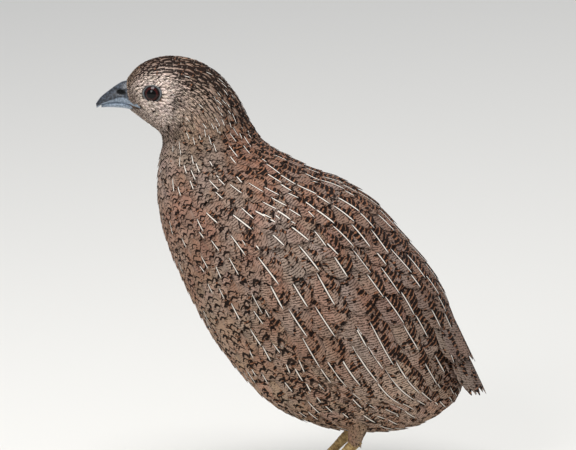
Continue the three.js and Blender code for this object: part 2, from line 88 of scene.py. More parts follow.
def linear(code):
    """A colour written as rrggbb, as the shader's own red, green and blue."""
    shares = [int(code[i : i + 2], 16) / 255 for i in (0, 2, 4)]
    return [c / 12.92 if c < 0.04045 else ((c + 0.055) / 1.055) ** 2.4 for c in shares]


def plain_material(name, colour, roughness):
    """A material with one colour and one roughness, and its shader's sockets."""
    made = bpy.data.materials.new(name)
    made.use_nodes = True
    sockets = made.node_tree.nodes["Principled BSDF"].inputs
    sockets["Base Color"].default_value = (*linear(colour), 1)
    sockets["Roughness"].default_value = roughness
    return made, sockets


shape = bmesh.new()
bmesh.ops.create_grid(shape, x_segments=1, y_segments=1, size=FLOOR_HALF)
floor = bpy.data.objects.new("floor", bpy.data.meshes.new("floor"))
shape.to_mesh(floor.data)
shape.free()
floor.data.materials.append(plain_material("pale_floor", "d9d7d1", 0.9)[0])
bpy.context.collection.objects.link(floor)

# The skin: one closed form from the bill's base to the vent with the folded wings in it, and a sleeve
# on each leg, inside the solids by the depth of the plumage. It has the plumage's colours, made darker
# as painted shade, for what shows in the gaps between feathers.
SLICES = np.array(
    [  # belly side ahead, up; back ahead, up; half width; how high the widest level lies
        (58.6, 136.9, 59.6, 145.2, 3.4, 0.0),  # bill's base
        (55.3, 134.6, 55.2, 150.8, 6.3, -0.1),
        (50.8, 131.2, 50.0, 153.9, 8.7, -0.12),  # eyes
        (47.6, 128.8, 42.5, 155.2, 9.9, -0.12),
        (46.3, 126.8, 33.5, 153.4, 10.5, -0.1),  # crown and cheeks
        (46.0, 124.8, 25.2, 148.0, 10.8, -0.06),
        (46.2, 122.8, 19.0, 139.8, 11.4, 0.0),  # nape
        (46.8, 120.4, 14.6, 131.0, 12.6, 0.0),
        (47.7, 116.0, 9.6, 124.2, 15.2, 0.0),  # neck
        (48.0, 107.6, 1.5, 119.4, 19.4, 0.0),
        (47.0, 98.0, -7.5, 114.6, 24.0, 0.0),  # shoulders
        (43.8, 86.5, -17.5, 110.8, 27.6, 0.0),
        (38.0, 72.5, -29.0, 103.0, 29.6, -0.03),  # breast
        (30.0, 57.0, -39.5, 90.4, 30.2, -0.05),
        (19.5, 42.5, -47.5, 78.5, 29.2, -0.06),  # flanks
        (8.0, 31.0, -52.5, 67.0, 26.6, -0.06),
        (-6.0, 24.0, -56.0, 55.5, 22.4, -0.05),  # belly
        (-22.0, 20.8, -58.2, 45.5, 17.0, 0.0),
        (-37.0, 21.6, -59.4, 38.5, 11.6, 0.0),  # vent
        (-46.5, 24.6, -58.6, 35.5, 7.6, 0.0),
        (-53.0, 29.4, -56.8, 32.0, 2.0, 0.0),
    ]
)
LAST_SLICE = len(SLICES) - 1
WING_START, WING_END = 9.7, 17.6  # slices
WING_MIDDLE = [84, 84, 82, 80, 78, 75, 72, 70, 68.0]  # degrees from the back, at even steps
WING_SPREAD = [10, 25, 33, 37, 38, 37, 33, 25, 8.0]  # degrees from that middle to the wing's edges
WING_STANDS = 3.0  # how far the folded wing stands over the body at its middle
RUMP_STANDS = 1.8  # how far the rump's long soft feathers stand out over the tail's root


def through(rows, where):
    """A smooth curve through evenly numbered rows, read at many places."""
    rows = np.asarray(rows, float)
    padded = np.concatenate([[2 * rows[0] - rows[1]], rows, [2 * rows[-1] - rows[-2]]])
    i = np.clip(np.floor(where).astype(int), 0, len(rows) - 2)
    t = (where - i).reshape(-1, *[1] * (rows.ndim - 1))
    a, b, c, d = (padded[i + k] for k in range(4))
    return b + t * (c - a + t * (2 * a - 5 * b + 4 * c - d + t * (3 * (b - c) + d - a))) / 2


def unit(vectors):
    return vectors / np.maximum(np.linalg.norm(vectors, axis=-1, keepdims=True), 1e-9)


def ease(value, low, high):
    """0 below low and 1 above high, with a smooth way between."""
    t = np.clip((value - low) / (high - low), 0, 1)
    return t * t * (3 - 2 * t)


def section(row, a):
    """Points of sections at angles from the back round by the left side."""
    share = ((1 + np.cos(a) + row[:, 5] * np.sin(a) ** 2) / 2)[:, None]
    middle = row[:, 0:2] + (row[:, 2:4] - row[:, 0:2]) * share
    return np.stack([row[:, 4] * np.sin(a), -middle[:, 0], middle[:, 1]], axis=1)


def bare_body(s, a):
    return section(through(SLICES, s), a)


def degrees_from_back(a):
    return np.abs(np.degrees(np.arctan2(np.sin(a), np.cos(a))))


def wing_frame(s, a):
    """How far along the folded wing a place of the body lies, and how far across from its middle."""
    along = (s - WING_START) / (WING_END - WING_START)
    where = np.clip(along, 0, 1) * (len(WING_MIDDLE) - 1)
    spread = np.maximum(through(WING_SPREAD, where), 1)
    return along, (degrees_from_back(a) - through(WING_MIDDLE, where)) / spread


def wing_stand(s, a):
    """How far the folded wings and the rump's feathers stand out over the body."""
    along, across = wing_frame(s, a)
    lens = ease(along, 0, 0.35) * ease(1 - along, 0, 0.22) * ease(1 - np.abs(across), 0, 0.45)
    rump = ease(s, 12.5, 15) * ease(18 - s, 0, 1.6) * ease(60 - degrees_from_back(a), 0, 35)
    return WING_STANDS * lens + RUMP_STANDS * rump


def slopes(s, a):
    """How the bare body runs along it for each slice, and around it for each radian."""
    step = 0.02
    along = bare_body(s + step, a) - bare_body(s - step, a)
    around = bare_body(s, a + step) - bare_body(s, a - step)
    return along / (2 * step), around / (2 * step)


def body_surface(s, a, lift):
    """Points of the outer form with the folded wings in it, lifted along the form's normals."""
    along, around = slopes(s, a)
    lift = np.reshape(lift + wing_stand(s, a), (-1, 1))
    return bare_body(s, a) + unit(np.cross(around, along)) * lift


# Each zone of the coat: its slice, its degrees from the back and how far it reaches; its feathers'
# length, width and distance apart and the coat's depth; its ground colour; and how strong its marks
# are: white shafts, dark arcs, scribble, black blotches, dark middle, pale fringe and rust patches.
ZONES = [
    (0.5, 20, 0.6, 2.2, 0.9, 0.62, 0.6, "85705f", 0, 0, 0, 0, 0.5, 0.4, 0),  # forehead
    (0.6, 95, 0.6, 2, 0.8, 0.56, 0.6, "7f6f65", 0, 0, 0, 0, 0.3, 0.4, 0),  # lores
    (0.6, 175, 0.8, 2.2, 0.9, 0.62, 0.7, "a2948a", 0, 0, 0, 0, 0.05, 0.4, 0),  # chin
    (2, 20, 0.7, 4, 1.5, 1, 0.9, "6b5040", 0, 0, 0, 0, 0.95, 0.5, 0.3),
    (3.6, 0, 0.3, 5.6, 1.9, 1.2, 1.1, "a48b74", 0.3, 0, 0, 0, 0.4, 0.9, 0),  # crown's middle line
    (3.8, 30, 0.9, 5.8, 2.1, 1.25, 1.1, "6b4a37", 0, 0, 0, 0, 1, 0.6, 0.3),  # crown's dark sides
    (4.4, 50, 0.3, 4.2, 1.7, 1, 1, "94806f", 0.05, 0, 0, 0, 0.5, 0.8, 0.1),
    (2.4, 64, 0.9, 2.8, 1, 0.62, 0.8, "dac8bb", 0, 0, 0, 0, 0.18, 0.6, 0),  # brow
    (3.2, 72, 0.5, 3.2, 1, 0.65, 0.8, "cdbcb0", 0.08, 0, 0, 0, 0.12, 0.7, 0),  # behind the eye
    (3.2, 104, 1, 2.8, 1, 0.65, 0.8, "d6c4b8", 0, 0, 0, 0, 0.26, 0.6, 0),  # cheek
    (3.75, 84, 0.2, 3, 1, 0.68, 0.8, "4c3e36", 0, 0, 0, 0, 0.6, 0, 0),  # ear
    (2.6, 150, 1.1, 2.7, 1, 0.66, 0.8, "a18f83", 0, 0, 0, 0, 0.35, 0.5, 0.1),  # throat
    (4.6, 130, 0.6, 3.2, 1.3, 0.8, 0.9, "6f5c50", 0, 0, 0.2, 0.3, 0.5, 0.3, 0.1),  # throat's dark side
    (4.5, 84, 0.8, 3.8, 1.4, 0.9, 1, "bda897", 0.05, 0, 0, 0, 0.22, 0.6, 0.05),  # behind the cheek
    (5.3, 66, 0.7, 4.2, 1.8, 1.1, 1.1, "8d7665", 0.35, 0, 0.1, 0.1, 0.45, 0.6, 0.1),
    (5.9, 110, 1.1, 4.4, 2.8, 1.5, 1.1, "87715f", 0.2, 0.45, 0.12, 0.05, 0.3, 0.35, 0.3),  # neck's side
    (5.6, 165, 1.2, 3.8, 2.6, 1.4, 1.1, "89766a", 0.03, 0.6, 0.1, 0, 0.2, 0.3, 0.3),
    (8, 90, 1.5, 7, 5.2, 2.6, 1.6, "75604f", 0.3, 0.6, 0.3, 0.1, 0, 0.1, 0.7),
    (8, 165, 1.5, 6.2, 5, 2.5, 1.6, "8f7a6d", 0.1, 1, 0.05, 0, 0, 0.35, 0.4),  # foreneck
    (10.6, 160, 1.8, 8.4, 6.4, 3.1, 1.9, "9a7c6b", 0.12, 1, 0.1, 0, 0, 0.35, 0.55),  # breast
    (10.6, 118, 1.6, 9.4, 6.8, 3.3, 1.9, "826a5c", 0.35, 1, 0.3, 0.1, 0, 0.15, 0.6),
    (13.5, 165, 1.8, 10, 8, 4.2, 2.3, "b0967f", 0.05, 0.9, 0.1, 0, 0, 0.45, 0.4),  # belly
    (13.5, 128, 1.6, 12.5, 9.4, 4.9, 2.3, "94715a", 0.5, 0.8, 0.3, 0.5, 0, 0.2, 0.8),  # flank
    (16.5, 120, 1.8, 12.5, 9.4, 4.9, 2.3, "937763", 0.45, 0.6, 0.4, 0.5, 0, 0.15, 0.8),
    (17.5, 170, 1.8, 9, 6, 3.6, 2.4, "998068", 0.1, 0.7, 0.3, 0.1, 0, 0.3, 0.3),  # vent
    (6, 12, 1.2, 6, 3, 1.9, 1.4, "6d503d", 0.5, 0, 0, 0.3, 0.9, 0.6, 0.2),  # nape
    (8.6, 20, 1.4, 9, 5, 3.2, 1.8, "684a39", 0.6, 0, 0.3, 0.9, 0.2, 0.2, 0.6),
    (8.6, 55, 1.2, 9, 5, 3.2, 1.8, "70574a", 0.8, 0, 0.4, 0.6, 0.1, 0.2, 0.7),
    (11, 8, 1.4, 12, 6.6, 4.2, 2.2, "5f493c", 0.6, 0, 0.3, 0.8, 0, 0.2, 0.4),
    (11, 38, 1.3, 12, 6.6, 4.2, 2.2, "6d4d3b", 0.9, 0, 0.5, 0.9, 0, 0.1, 0.8),  # mantle
    (11, 72, 1.4, 12, 6.6, 4.2, 2.2, "776458", 1, 0, 0.9, 0.3, 0, 0.1, 0.6),
    (14, 8, 1.4, 12, 6.6, 4.2, 2.2, "5b493e", 0.5, 0, 0.3, 0.9, 0, 0.2, 0.3),
    (14, 42, 1.3, 12, 6.6, 4.2, 2.2, "75594a", 0.9, 0, 0.4, 0.95, 0, 0.1, 0.5),
    (13.6, 80, 1.5, 12, 6.6, 4.2, 2.2, "7c6a5e", 1, 0, 1, 0.2, 0, 0.1, 0.6),  # wing
    (16.6, 75, 1.4, 12, 6.6, 4.2, 2.2, "b39a88", 1, 0, 0.9, 0.4, 0, 0.15, 0.4),
    (16.8, 40, 1.2, 11, 6.4, 4, 2.2, "7f6857", 1, 0, 0.4, 0.9, 0, 0.1, 0.3),
    (17.2, 8, 1.4, 11, 6.4, 4, 2.2, "574b44", 0.4, 0, 0.3, 0.9, 0, 0.3, 0.2),  # rump
]
LENGTH, WIDTH, APART, DEPTH = range(4)
GROUND, MARKS = slice(4, 7), slice(7, 14)
SHAFT, PATCHY = 7, 13
ZONE_SLICES, ZONE_DEGREES = 1.1, 24.0  # how far a zone spreads along and round the body, for its reach
ZONE_PLACES = np.array([zone[:3] for zone in ZONES])
ZONE_WEIGHTS = np.where(ZONE_PLACES[:, 2] < 0.3, 1.9, 1)  # the smallest zone stands out
ZONE_FACTS = np.array([[*zone[3:7], *linear(zone[7]), *zone[8:15]] for zone in ZONES])


def coat_at(s, a):
    """The blended facts of the coat at many places."""
    near = ((s[:, None] - ZONE_PLACES[:, 0]) / (ZONE_SLICES * ZONE_PLACES[:, 2])) ** 2
    reach = ZONE_DEGREES * (0.4 + ZONE_PLACES[:, 2])
    near = near + ((degrees_from_back(a)[:, None] - ZONE_PLACES[:, 1]) / reach) ** 2
    weight = np.exp(-near) * ZONE_WEIGHTS + 1e-7 / (0.2 + near)
    return weight @ ZONE_FACTS / weight.sum(axis=1, keepdims=True)


def formed(shape, segments, rings, place):
    """Adds a ball whose points lie where place puts each turn and share of the way along."""
    made = bmesh.ops.create_uvsphere(shape, u_segments=segments, v_segments=rings, radius=1)["verts"]
    points = np.array([vertex.co for vertex in made])
    turns = np.arctan2(points[:, 1], points[:, 0])
    shares = np.arccos(np.clip(points[:, 2], -1, 1)) / math.pi
    for vertex, spot in zip(made, place(turns, shares)):
        vertex.co = Vector(spot) * MM
    return turns, shares


def closed_ends(shares, end):
    """Where along its sections each share of a form lies, from 0 to 1, and how far its ends draw in."""
    near_end = np.clip(np.minimum(shares, 1 - shares) / end, 0, 1)
    return np.clip((shares - end) / (1 - 2 * end), 0, 1), np.sqrt(1 - (1 - near_end) ** 2)


def smooth_mesh(shape, name):
    """Turns a bmesh into a smooth-shaded mesh with its faces outwards."""
    bmesh.ops.recalc_face_normals(shape, faces=shape.faces)
    for face in shape.faces:
        face.smooth = True
    mesh = bpy.data.meshes.new(name)
    shape.to_mesh(mesh)
    shape.free()
    return mesh


def formed_mesh(name, segments, rings, place):
    """A mesh of one closed form, with the turns and the shares of its points."""
    shape = bmesh.new()
    turns, shares = formed(shape, segments, rings, place)
    return smooth_mesh(shape, name), turns, shares


def finished(name, mesh, material, nodes=()):
    """Links a piece, lets it ride with the bird and hides the solids that it stands for."""
    piece = bpy.data.objects.new(name, mesh)
    bpy.context.collection.objects.link(piece)
    mesh.materials.append(material)
    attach(piece, "root")
    if nodes:
        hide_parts(*nodes)
    return piece


def give_colours(mesh, name, *columns):
    """Writes columns as each vertex's red, green, blue and alpha, with 0, 0, 0 and 1 where none is."""
    given = np.column_stack(columns)
    rows = np.tile(np.array([0, 0, 0, 1], np.float32), (len(given), 1))
    rows[:, : given.shape[1]] = given
    layer = mesh.color_attributes.new(name, "FLOAT_COLOR", "POINT")
    layer.data.foreach_set("color", rows.ravel())


def give_map(mesh, name, pairs, turn=0.0):
    """Writes a UV map from one pair a vertex. With a turn, faces over a round map's seam stay whole.

    turn is how much of the map one whole turn takes.
    """
    corners = np.empty(len(mesh.loops), np.int32)
    mesh.loops.foreach_get("vertex_index", corners)
    places = np.asarray(pairs, np.float32)[corners]
    if turn:
        starts = np.empty(len(mesh.polygons), np.int32)
        mesh.polygons.foreach_get("loop_start", starts)
        highest = np.maximum.reduceat(places[:, 1], starts)
        highest = np.repeat(highest, np.diff(np.append(starts, len(corners))))
        places[:, 1] += turn * (highest - places[:, 1] > turn / 2)
    layer = mesh.uv_layers.new(name=name)
    layer.data.foreach_set("uv", places.ravel())


class Wiring:
    """Short calls for wiring one node tree."""

    def __init__(self, tree):
        self.tree = tree

    def feed(self, socket, value):
        if isinstance(value, bpy.types.NodeSocket):
            self.tree.links.new(value, socket)
        elif isinstance(value, str):
            socket.default_value = (*linear(value), 1)
        else:
            socket.default_value = value

    def node(self, kind, settings=None, **inputs):
        made = self.tree.nodes.new("ShaderNode" + kind)
        for name, value in (settings or {}).items():
            setattr(made, name, value)
        for name, value in inputs.items():
            key = int(name[1:]) if name[0] == "_" else name.replace("_", " ")
            self.feed(made.inputs[key], value)
        return made

    def math(self, operation, a, b=0.0, c=0.0):
        return self.node("Math", {"operation": operation}, _0=a, _1=b, _2=c).outputs[0]

    def line(self, value, slope, start):
        """The value times slope, plus start."""
        return self.math("MULTIPLY_ADD", value, slope, start)

    def product(self, first, *others):
        for other in others:
            first = self.math("MULTIPLY", first, other)
        return first

    def mix(self, share, a, b, blend="MIX"):
        made = self.node("Mix", {"data_type": "RGBA", "blend_type": blend})
        for key, value in ((0, share), (6, a), (7, b)):
            self.feed(made.inputs[key], value)
        return made.outputs[2]

    def shade(self, colour, tone):
        """The colour made darker or lighter by a number."""
        return self.mix(1.0, colour, self.vector(tone, tone, tone), "MULTIPLY")

    def ramp(self, value, low, high):
        """0 below low and 1 above high, or the other way round where low is above high."""
        made = self.node("MapRange", {"interpolation_type": "SMOOTHSTEP"}, Value=value)
        ends = (low, high, 0.0, 1.0) if low < high else (high, low, 1.0, 0.0)
        for name, end in zip(("From Min", "From Max", "To Min", "To Max"), ends):
            made.inputs[name].default_value = end
        return made.outputs[0]

    def vector(self, x, y, z):
        return self.node("CombineXYZ", X=x, Y=y, Z=z).outputs[0]

    def noise(self, place, scale, detail=2.0, roughness=0.55):
        inputs = {"Vector": place, "Scale": scale, "Detail": detail, "Roughness": roughness}
        return self.node("TexNoise", **inputs).outputs[0]

    def millimetres(self):
        """The place on the piece in millimetres."""
        place = self.node("TexCoord").outputs["Object"]
        return self.node("Mapping", Vector=place, Scale=(1 / MM, 1 / MM, 1 / MM)).outputs[0]

    def attribute(self, name):
        return self.node("Attribute", {"attribute_name": name}).outputs

    def parts(self, name):
        """The red, green and blue of a colour attribute."""
        return self.node("SeparateColor", Color=self.attribute(name)["Color"]).outputs

    def uv(self, name):
        pair = self.node("UVMap", {"uv_map": name}).outputs[0]
        return self.node("SeparateXYZ", Vector=pair).outputs

    def bump(self, sockets, height, strength, distance):
        """Gives a shader its bump, whose distance is in metres."""
        made = self.node("Bump", Height=height, Strength=strength, Distance=distance)
        self.feed(sockets["Normal"], made.outputs[0])


# The marks of one feather, for the coat and for the skin under it. Across runs from -1 at the vane's
# back edge to 1 at its belly edge, Along from 0 at the root to 1 at the tip, and Aside and Down are the
# same place in millimetres from the shaft and from the root.
BLACK_MARK, DARK_LINE, WHITE_SHAFT = "150e0b", "2e201a", "e2d9cd"
RUST, PALE_FRINGE, GREY_HALF = "8e6249", "a8988c", "978a80"
SHAFT_HALF = 0.24  # the widest white shaft's half width in millimetres
LINES_APART = 0.95  # the scribble's lines, in millimetres
BARBS_APART = 0.4
ARCS = ((0.84, 0.065), (0.6, 0.04))  # how far along each dark arc lies, and its half width
PLACES = ("Across", "Along", "Aside", "Down", "Seed")
STRENGTHS = ("Shaft", "Arcs", "Scribble", "Blotches", "Middle", "Fringe")
marking = bpy.data.node_groups.new("feather_marking", "ShaderNodeTree")
for number in PLACES + STRENGTHS:
    marking.interface.new_socket(number, in_out="INPUT", socket_type="NodeSocketFloat")
marking.interface.new_socket("Ground", in_out="INPUT", socket_type="NodeSocketColor")
marking.interface.new_socket("Colour", in_out="OUTPUT", socket_type="NodeSocketColor")
marking.interface.new_socket("Height", in_out="OUTPUT", socket_type="NodeSocketFloat")
wire = Wiring(marking)
given = marking.nodes.new("NodeGroupInput").outputs
side = wire.math("ABSOLUTE", given["Across"])
aside = wire.math("ABSOLUTE", given["Aside"])
seed = wire.product(given["Seed"], 61.0)
place = wire.vector(given["Aside"], given["Down"], seed)
back_half = wire.ramp(given["Across"], 0.3, -0.15)
cloud = wire.noise(place, 0.42)
colour = wire.shade(given["Ground"], wire.line(cloud, 0.8, 0.72))

# Fine scribble: broken wavy lines that bend round towards the tip.
scribble = wire.line(back_half, -0.25, given["Scribble"])
colour = wire.shade(colour, wire.line(wire.ramp(scribble, 0.1, 0.9), 0.4, 1.0))
greyer = wire.product(wire.math("SUBTRACT", 1.0, back_half), given["Scribble"], 0.35)
colour = wire.mix(greyer, colour, GREY_HALF)
curved = wire.math("ADD", given["Down"], wire.product(given["Aside"], given["Aside"], 0.07))
wobble = wire.line(cloud, 5.0, wire.product(wire.noise(place, 1.3), 7.5))
phase = wire.line(curved, 2 * math.pi / LINES_APART, wobble)
lines = wire.ramp(wire.line(scribble, 1.5, wire.math("SINE", phase)), 0.65, 1.3)
broken = wire.ramp(wire.noise(place, 1.1, 1.0), 0.36, 0.46)
colour = wire.mix(wire.product(lines, broken, 0.84), colour, DARK_LINE)

# The dark middle of a feather, and its pale fringe.
width_left = wire.math("SUBTRACT", wire.product(given["Middle"], 0.85), side)
dark_part = wire.product(wire.ramp(width_left, 0.0, 0.25), wire.ramp(given["Along"], 1.0, 0.95))
colour = wire.mix(wire.product(dark_part, 0.96), colour, BLACK_MARK)
rim = wire.math("MAXIMUM", wire.ramp(side, 0.66, 0.95), wire.ramp(given["Along"], 0.94, 0.99))
colour = wire.mix(wire.product(rim, given["Fringe"]), colour, PALE_FRINGE)

# Black blotches, broad and ragged, with rust-coloured waves in them.
longer = wire.vector(given["Aside"], wire.product(given["Down"], 0.8), wire.math("ADD", seed, 9.0))
covered = wire.product(given["Blotches"], wire.line(back_half, 0.7, 0.3))
blotch = wire.ramp(wire.line(covered, 0.3, wire.noise(longer, 0.4)), 0.62, 0.66)
rusty = wire.line(wire.noise(place, 0.9, 1.0), 1.6, wire.math("SINE", wire.product(phase, 0.55)))
rusty = wire.product(wire.ramp(rusty, 1.45, 1.65), 0.9)
colour = wire.mix(wire.product(blotch, 0.97), colour, wire.mix(rusty, BLACK_MARK, RUST))

# Dark arcs near the tip, with arms that run down the vane's sides.
bend = wire.line(wire.math("POWER", side, 1.4), -0.4, given["Along"])
bend = wire.line(cloud, 0.1, wire.math("SUBTRACT", bend, 0.05))
arcs = 0.0
for where, half in ARCS:
    off_line = wire.math("ABSOLUTE", wire.math("SUBTRACT", bend, where))
    arcs = wire.math("MAXIMUM", arcs, wire.ramp(off_line, half, half * 0.55))
arcs = wire.product(arcs, wire.ramp(given["Arcs"], 0.2, 0.6), wire.ramp(side, 0.5, 0.38))
colour = wire.mix(wire.product(arcs, 0.97), colour, BLACK_MARK)

# The shaft: a thin white line with a dark line along each side, tapering at its ends.
taper = wire.product(wire.ramp(given["Along"], 0.25, 0.55), wire.ramp(given["Along"], 1.0, 0.85))
half_wide = wire.product(given["Shaft"], wire.line(taper, 0.6, 0.4), SHAFT_HALF)
reach = wire.product(wire.ramp(given["Along"], 0.3, 0.4), wire.ramp(given["Along"], 0.99, 0.95))
reach = wire.product(reach, wire.ramp(given["Shaft"], 0.1, 0.25))
share = wire.math("DIVIDE", aside, wire.math("ADD", half_wide, 0.001))
core = wire.product(wire.ramp(share, 1.2, 0.8), reach)
colour = wire.mix(wire.product(wire.ramp(share, 2.9, 1.7), reach, 0.85), colour, BLACK_MARK)
colour = wire.mix(core, colour, WHITE_SHAFT)

# Barbs: fine slanting ribs from the shaft to the edges.
slant = wire.line(aside, -1.3, given["Down"])
ribs = wire.math("SINE", wire.product(slant, 2 * math.pi / BARBS_APART))
outcome = marking.nodes.new("NodeGroupOutput").inputs
wire.feed(outcome["Colour"], wire.shade(colour, wire.line(ribs, 0.05, 0.98)))
wire.feed(outcome["Height"], wire.line(core, 2.0, wire.product(ribs, 0.5)))

feather_finish, shader = plain_material("barred_feathers", "7a6050", 0.78)
shader["Specular IOR Level"].default_value = 0.08
wire = Wiring(feather_finish.node_tree)
group = wire.node("Group", {"node_tree": marking})
vane, barbs = wire.uv("vane"), wire.uv("barbs")
ground, marks, rims = wire.attribute("ground"), wire.attribute("marks"), wire.parts("rims")
first_marks = wire.node("SeparateColor", Color=marks["Color"]).outputs
places = (vane[0], vane[1], barbs[0], barbs[1], ground["Alpha"])
strengths = (*first_marks[0:3], marks["Alpha"], rims[0], rims[1])
for name, value in zip(PLACES + STRENGTHS, places + strengths):
    wire.feed(group.inputs[name], value)
wire.feed(group.inputs["Ground"], ground["Color"])
wire.feed(shader["Base Color"], group.outputs["Colour"])
wire.bump(shader, group.outputs["Height"], 0.2, 0.00008)

draws = np.random.default_rng(7)
PATCH_WAVES, PATCH_LONG = 8, 3.2  # how many waves make the patches, and how long, in millimetres
RUST_PATCH, GREY_PATCH = np.array(linear("825643")), np.array(linear("8a807a"))
waves = draws.normal(0, 1, (PATCH_WAVES, 3)) / PATCH_LONG
wave_starts = draws.uniform(0, 6.28, PATCH_WAVES)


def patched(facts, spots):
    """The ground colours with their patches of rust and of grey."""
    patch = np.clip(np.sin(spots @ waves.T + wave_starts).sum(axis=1) / 3, -1, 1)
    patch = patch[:, None] * facts[:, PATCHY : PATCHY + 1]
    ground = facts[:, GROUND]
    ground = ground + (RUST_PATCH - ground) * np.clip(patch, 0, 1) * 0.75
    return ground + (GREY_PATCH - ground) * np.clip(-patch, 0, 1) * 0.55


def dress(mesh, ground, seed, marks):
    """Gives a mesh of feathers, or the skin, the numbers that its marks are drawn from."""
    give_colours(mesh, "ground", ground, seed)
    give_colours(mesh, "marks", marks[:, :4])
    give_colours(mesh, "rims", marks[:, 4:7])


SKIN_END = 0.02  # the share of the skin's length over which each end draws in


def skin_place(turns, shares):
    """Where the points of head, neck and trunk lie, inside the coat by its depth."""
    where, drawn_in = closed_ends(shares, SKIN_END)
    s = where * LAST_SLICE
    axis = (bare_body(s, 0 * s) + bare_body(s, 0 * s + math.pi)) / 2
    outer = body_surface(s, turns, -coat_at(s, turns)[:, DEPTH])
    return axis + (outer - axis) * drawn_in[:, None]


LEG_LEFT, LEG_AHEAD = 13.5, -7.0  # the sole's middle
TOE_OUT = math.radians(9)
HOCK = (-19.0, 0.0, 24.0)  # ahead, outwards and up of the sole's middle
KNEE = (-6.0, -1.0, 40.0)
SOLE = (0.0, 0.0, 3.6)
MUFF_TOP, MUFF_BOTTOM = 8.5, 2.4  # the radius of the leg's feather sleeve at the knee and at its end
MUFF_REACH = 0.24  # the share of the shank that it covers
BARE_FROM = 0.18  # the share of the shank above which the scutes stop, inside the feathers
MUFF_DEPTH = 0.9  # of its feathers


def leg_place(sign, ahead, outwards, up):
    """A point told from the middle of the left or the right sole."""
    turn = sign * TOE_OUT
    x, y = sign * outwards, -ahead
    turned = (x * math.cos(turn) - y * math.sin(turn), x * math.sin(turn) + y * math.cos(turn))
    return np.array([sign * LEG_LEFT + turned[0], turned[1] - LEG_AHEAD, up])


def between(a, b, share):
    return a + (b - a) * share


def muff_path(sign):
    """The middle line of a leg's sleeve of feathers, from the knee to below the hock."""
    knee, hock, sole = (leg_place(sign, *spot) for spot in (KNEE, HOCK, SOLE))
    return np.array([knee, between(hock, knee, 0.3), between(hock, sole, MUFF_REACH)])


def muff_radius(where):
    return MUFF_BOTTOM + (MUFF_TOP - MUFF_BOTTOM) * (1 - where) ** 1.3


def limb_points(path, row, front, turns, reach):
    """Points round a path at turns from its front, and the way that the path runs there."""
    last = len(path) - 1
    way = through(path, np.minimum(row + 0.02, last)) - through(path, np.maximum(row - 0.02, 0))
    way = unit(way)
    beside = unit(np.cross(way, front))
    round_it = np.cos(turns)[:, None] * np.cross(beside, way) + np.sin(turns)[:, None] * beside
    return through(path, row) + reach[:, None] * round_it, way


TUBE_END = 0.04  # the share of a limb over which each end draws in


def tube_place(path, radius, front, plates=1, proud=0.0):
    """Where the points of a limb lie: a tube along a path, with overlapping plates down its front."""

    def place(turns, shares):
        where, drawn_in = closed_ends(shares, TUBE_END)
        step = where * plates % 1
        plate = proud * (1 - np.abs(2 * step - 1) ** 6) * ease(np.cos(turns), 0.0, 0.4)
        reach = (radius(where) + plate) * drawn_in
        points, _ = limb_points(path, where * (len(path) - 1), front, turns, reach)
        points[:, 2] = np.maximum(points[:, 2], 0)
        return points

    return place


ROUND_MAP = 6.6  # radians to one whole map, so that a round unwrap leaves a margin at its seam
TRUNK_MAP = (0.01, 0.78)  # where the trunk starts on the skin's map, and how long it is there
SLEEVE_MAPS = {1: 0.81, -1: 0.91}
SLEEVE_MAP_LONG = 0.08
AHEAD = (0, -1, 0)
shape = bmesh.new()
skin_turns, skin_shares = formed(shape, 96, 150, skin_place)
rounds = [0.5 + skin_turns / ROUND_MAP]
lengths = [TRUNK_MAP[0] + TRUNK_MAP[1] * skin_shares]
for sign, map_start in SLEEVE_MAPS.items():
    sleeve = tube_place(muff_path(sign), lambda t: muff_radius(t) - MUFF_DEPTH, AHEAD)
    turns, shares = formed(shape, 24, 20, sleeve)
    rounds.append(0.5 + turns / ROUND_MAP)
    lengths.append(map_start + SLEEVE_MAP_LONG * shares)
    # the sleeves take the belly's colours
    skin_turns = np.concatenate([skin_turns, 0 * turns + math.pi])
    skin_shares = np.concatenate([skin_shares, 0 * shares + 0.8])
skin_mesh = smooth_mesh(shape, "skin")
skin_s = closed_ends(skin_shares, SKIN_END)[0] * LAST_SLICE
skin_facts = coat_at(skin_s, skin_turns)
# Painted shade: the skin is darkened to half the plumage's brightness for the gaps between feathers,
# less under the head's short feathers.
painted_gap_shade = 0.5 + 0.4 * ease(5 - skin_s, 0, 2)[:, None]  # paler under the head's short feathers
skin_marks = skin_facts[:, MARKS] * [0, 0, 0, 1, 0.3, 0, 0]
dress(skin_mesh, skin_facts[:, GROUND] * painted_gap_shade, skin_shares[:, None], skin_marks)
skin_map = np.column_stack([np.concatenate(lengths), np.concatenate(rounds)])
give_map(skin_mesh, "OFBake", skin_map, 2 * math.pi / ROUND_MAP)
give_map(skin_mesh, "vane", np.column_stack([0 * skin_turns, 0 * skin_turns + 0.4]))
give_map(skin_mesh, "barbs", np.column_stack([skin_turns * 25, skin_shares * 160]))
SKIN_NODES = ("head", "neck", "torso", "thigh_left", "thigh_right")
finished("skin", skin_mesh, feather_finish, SKIN_NODES)


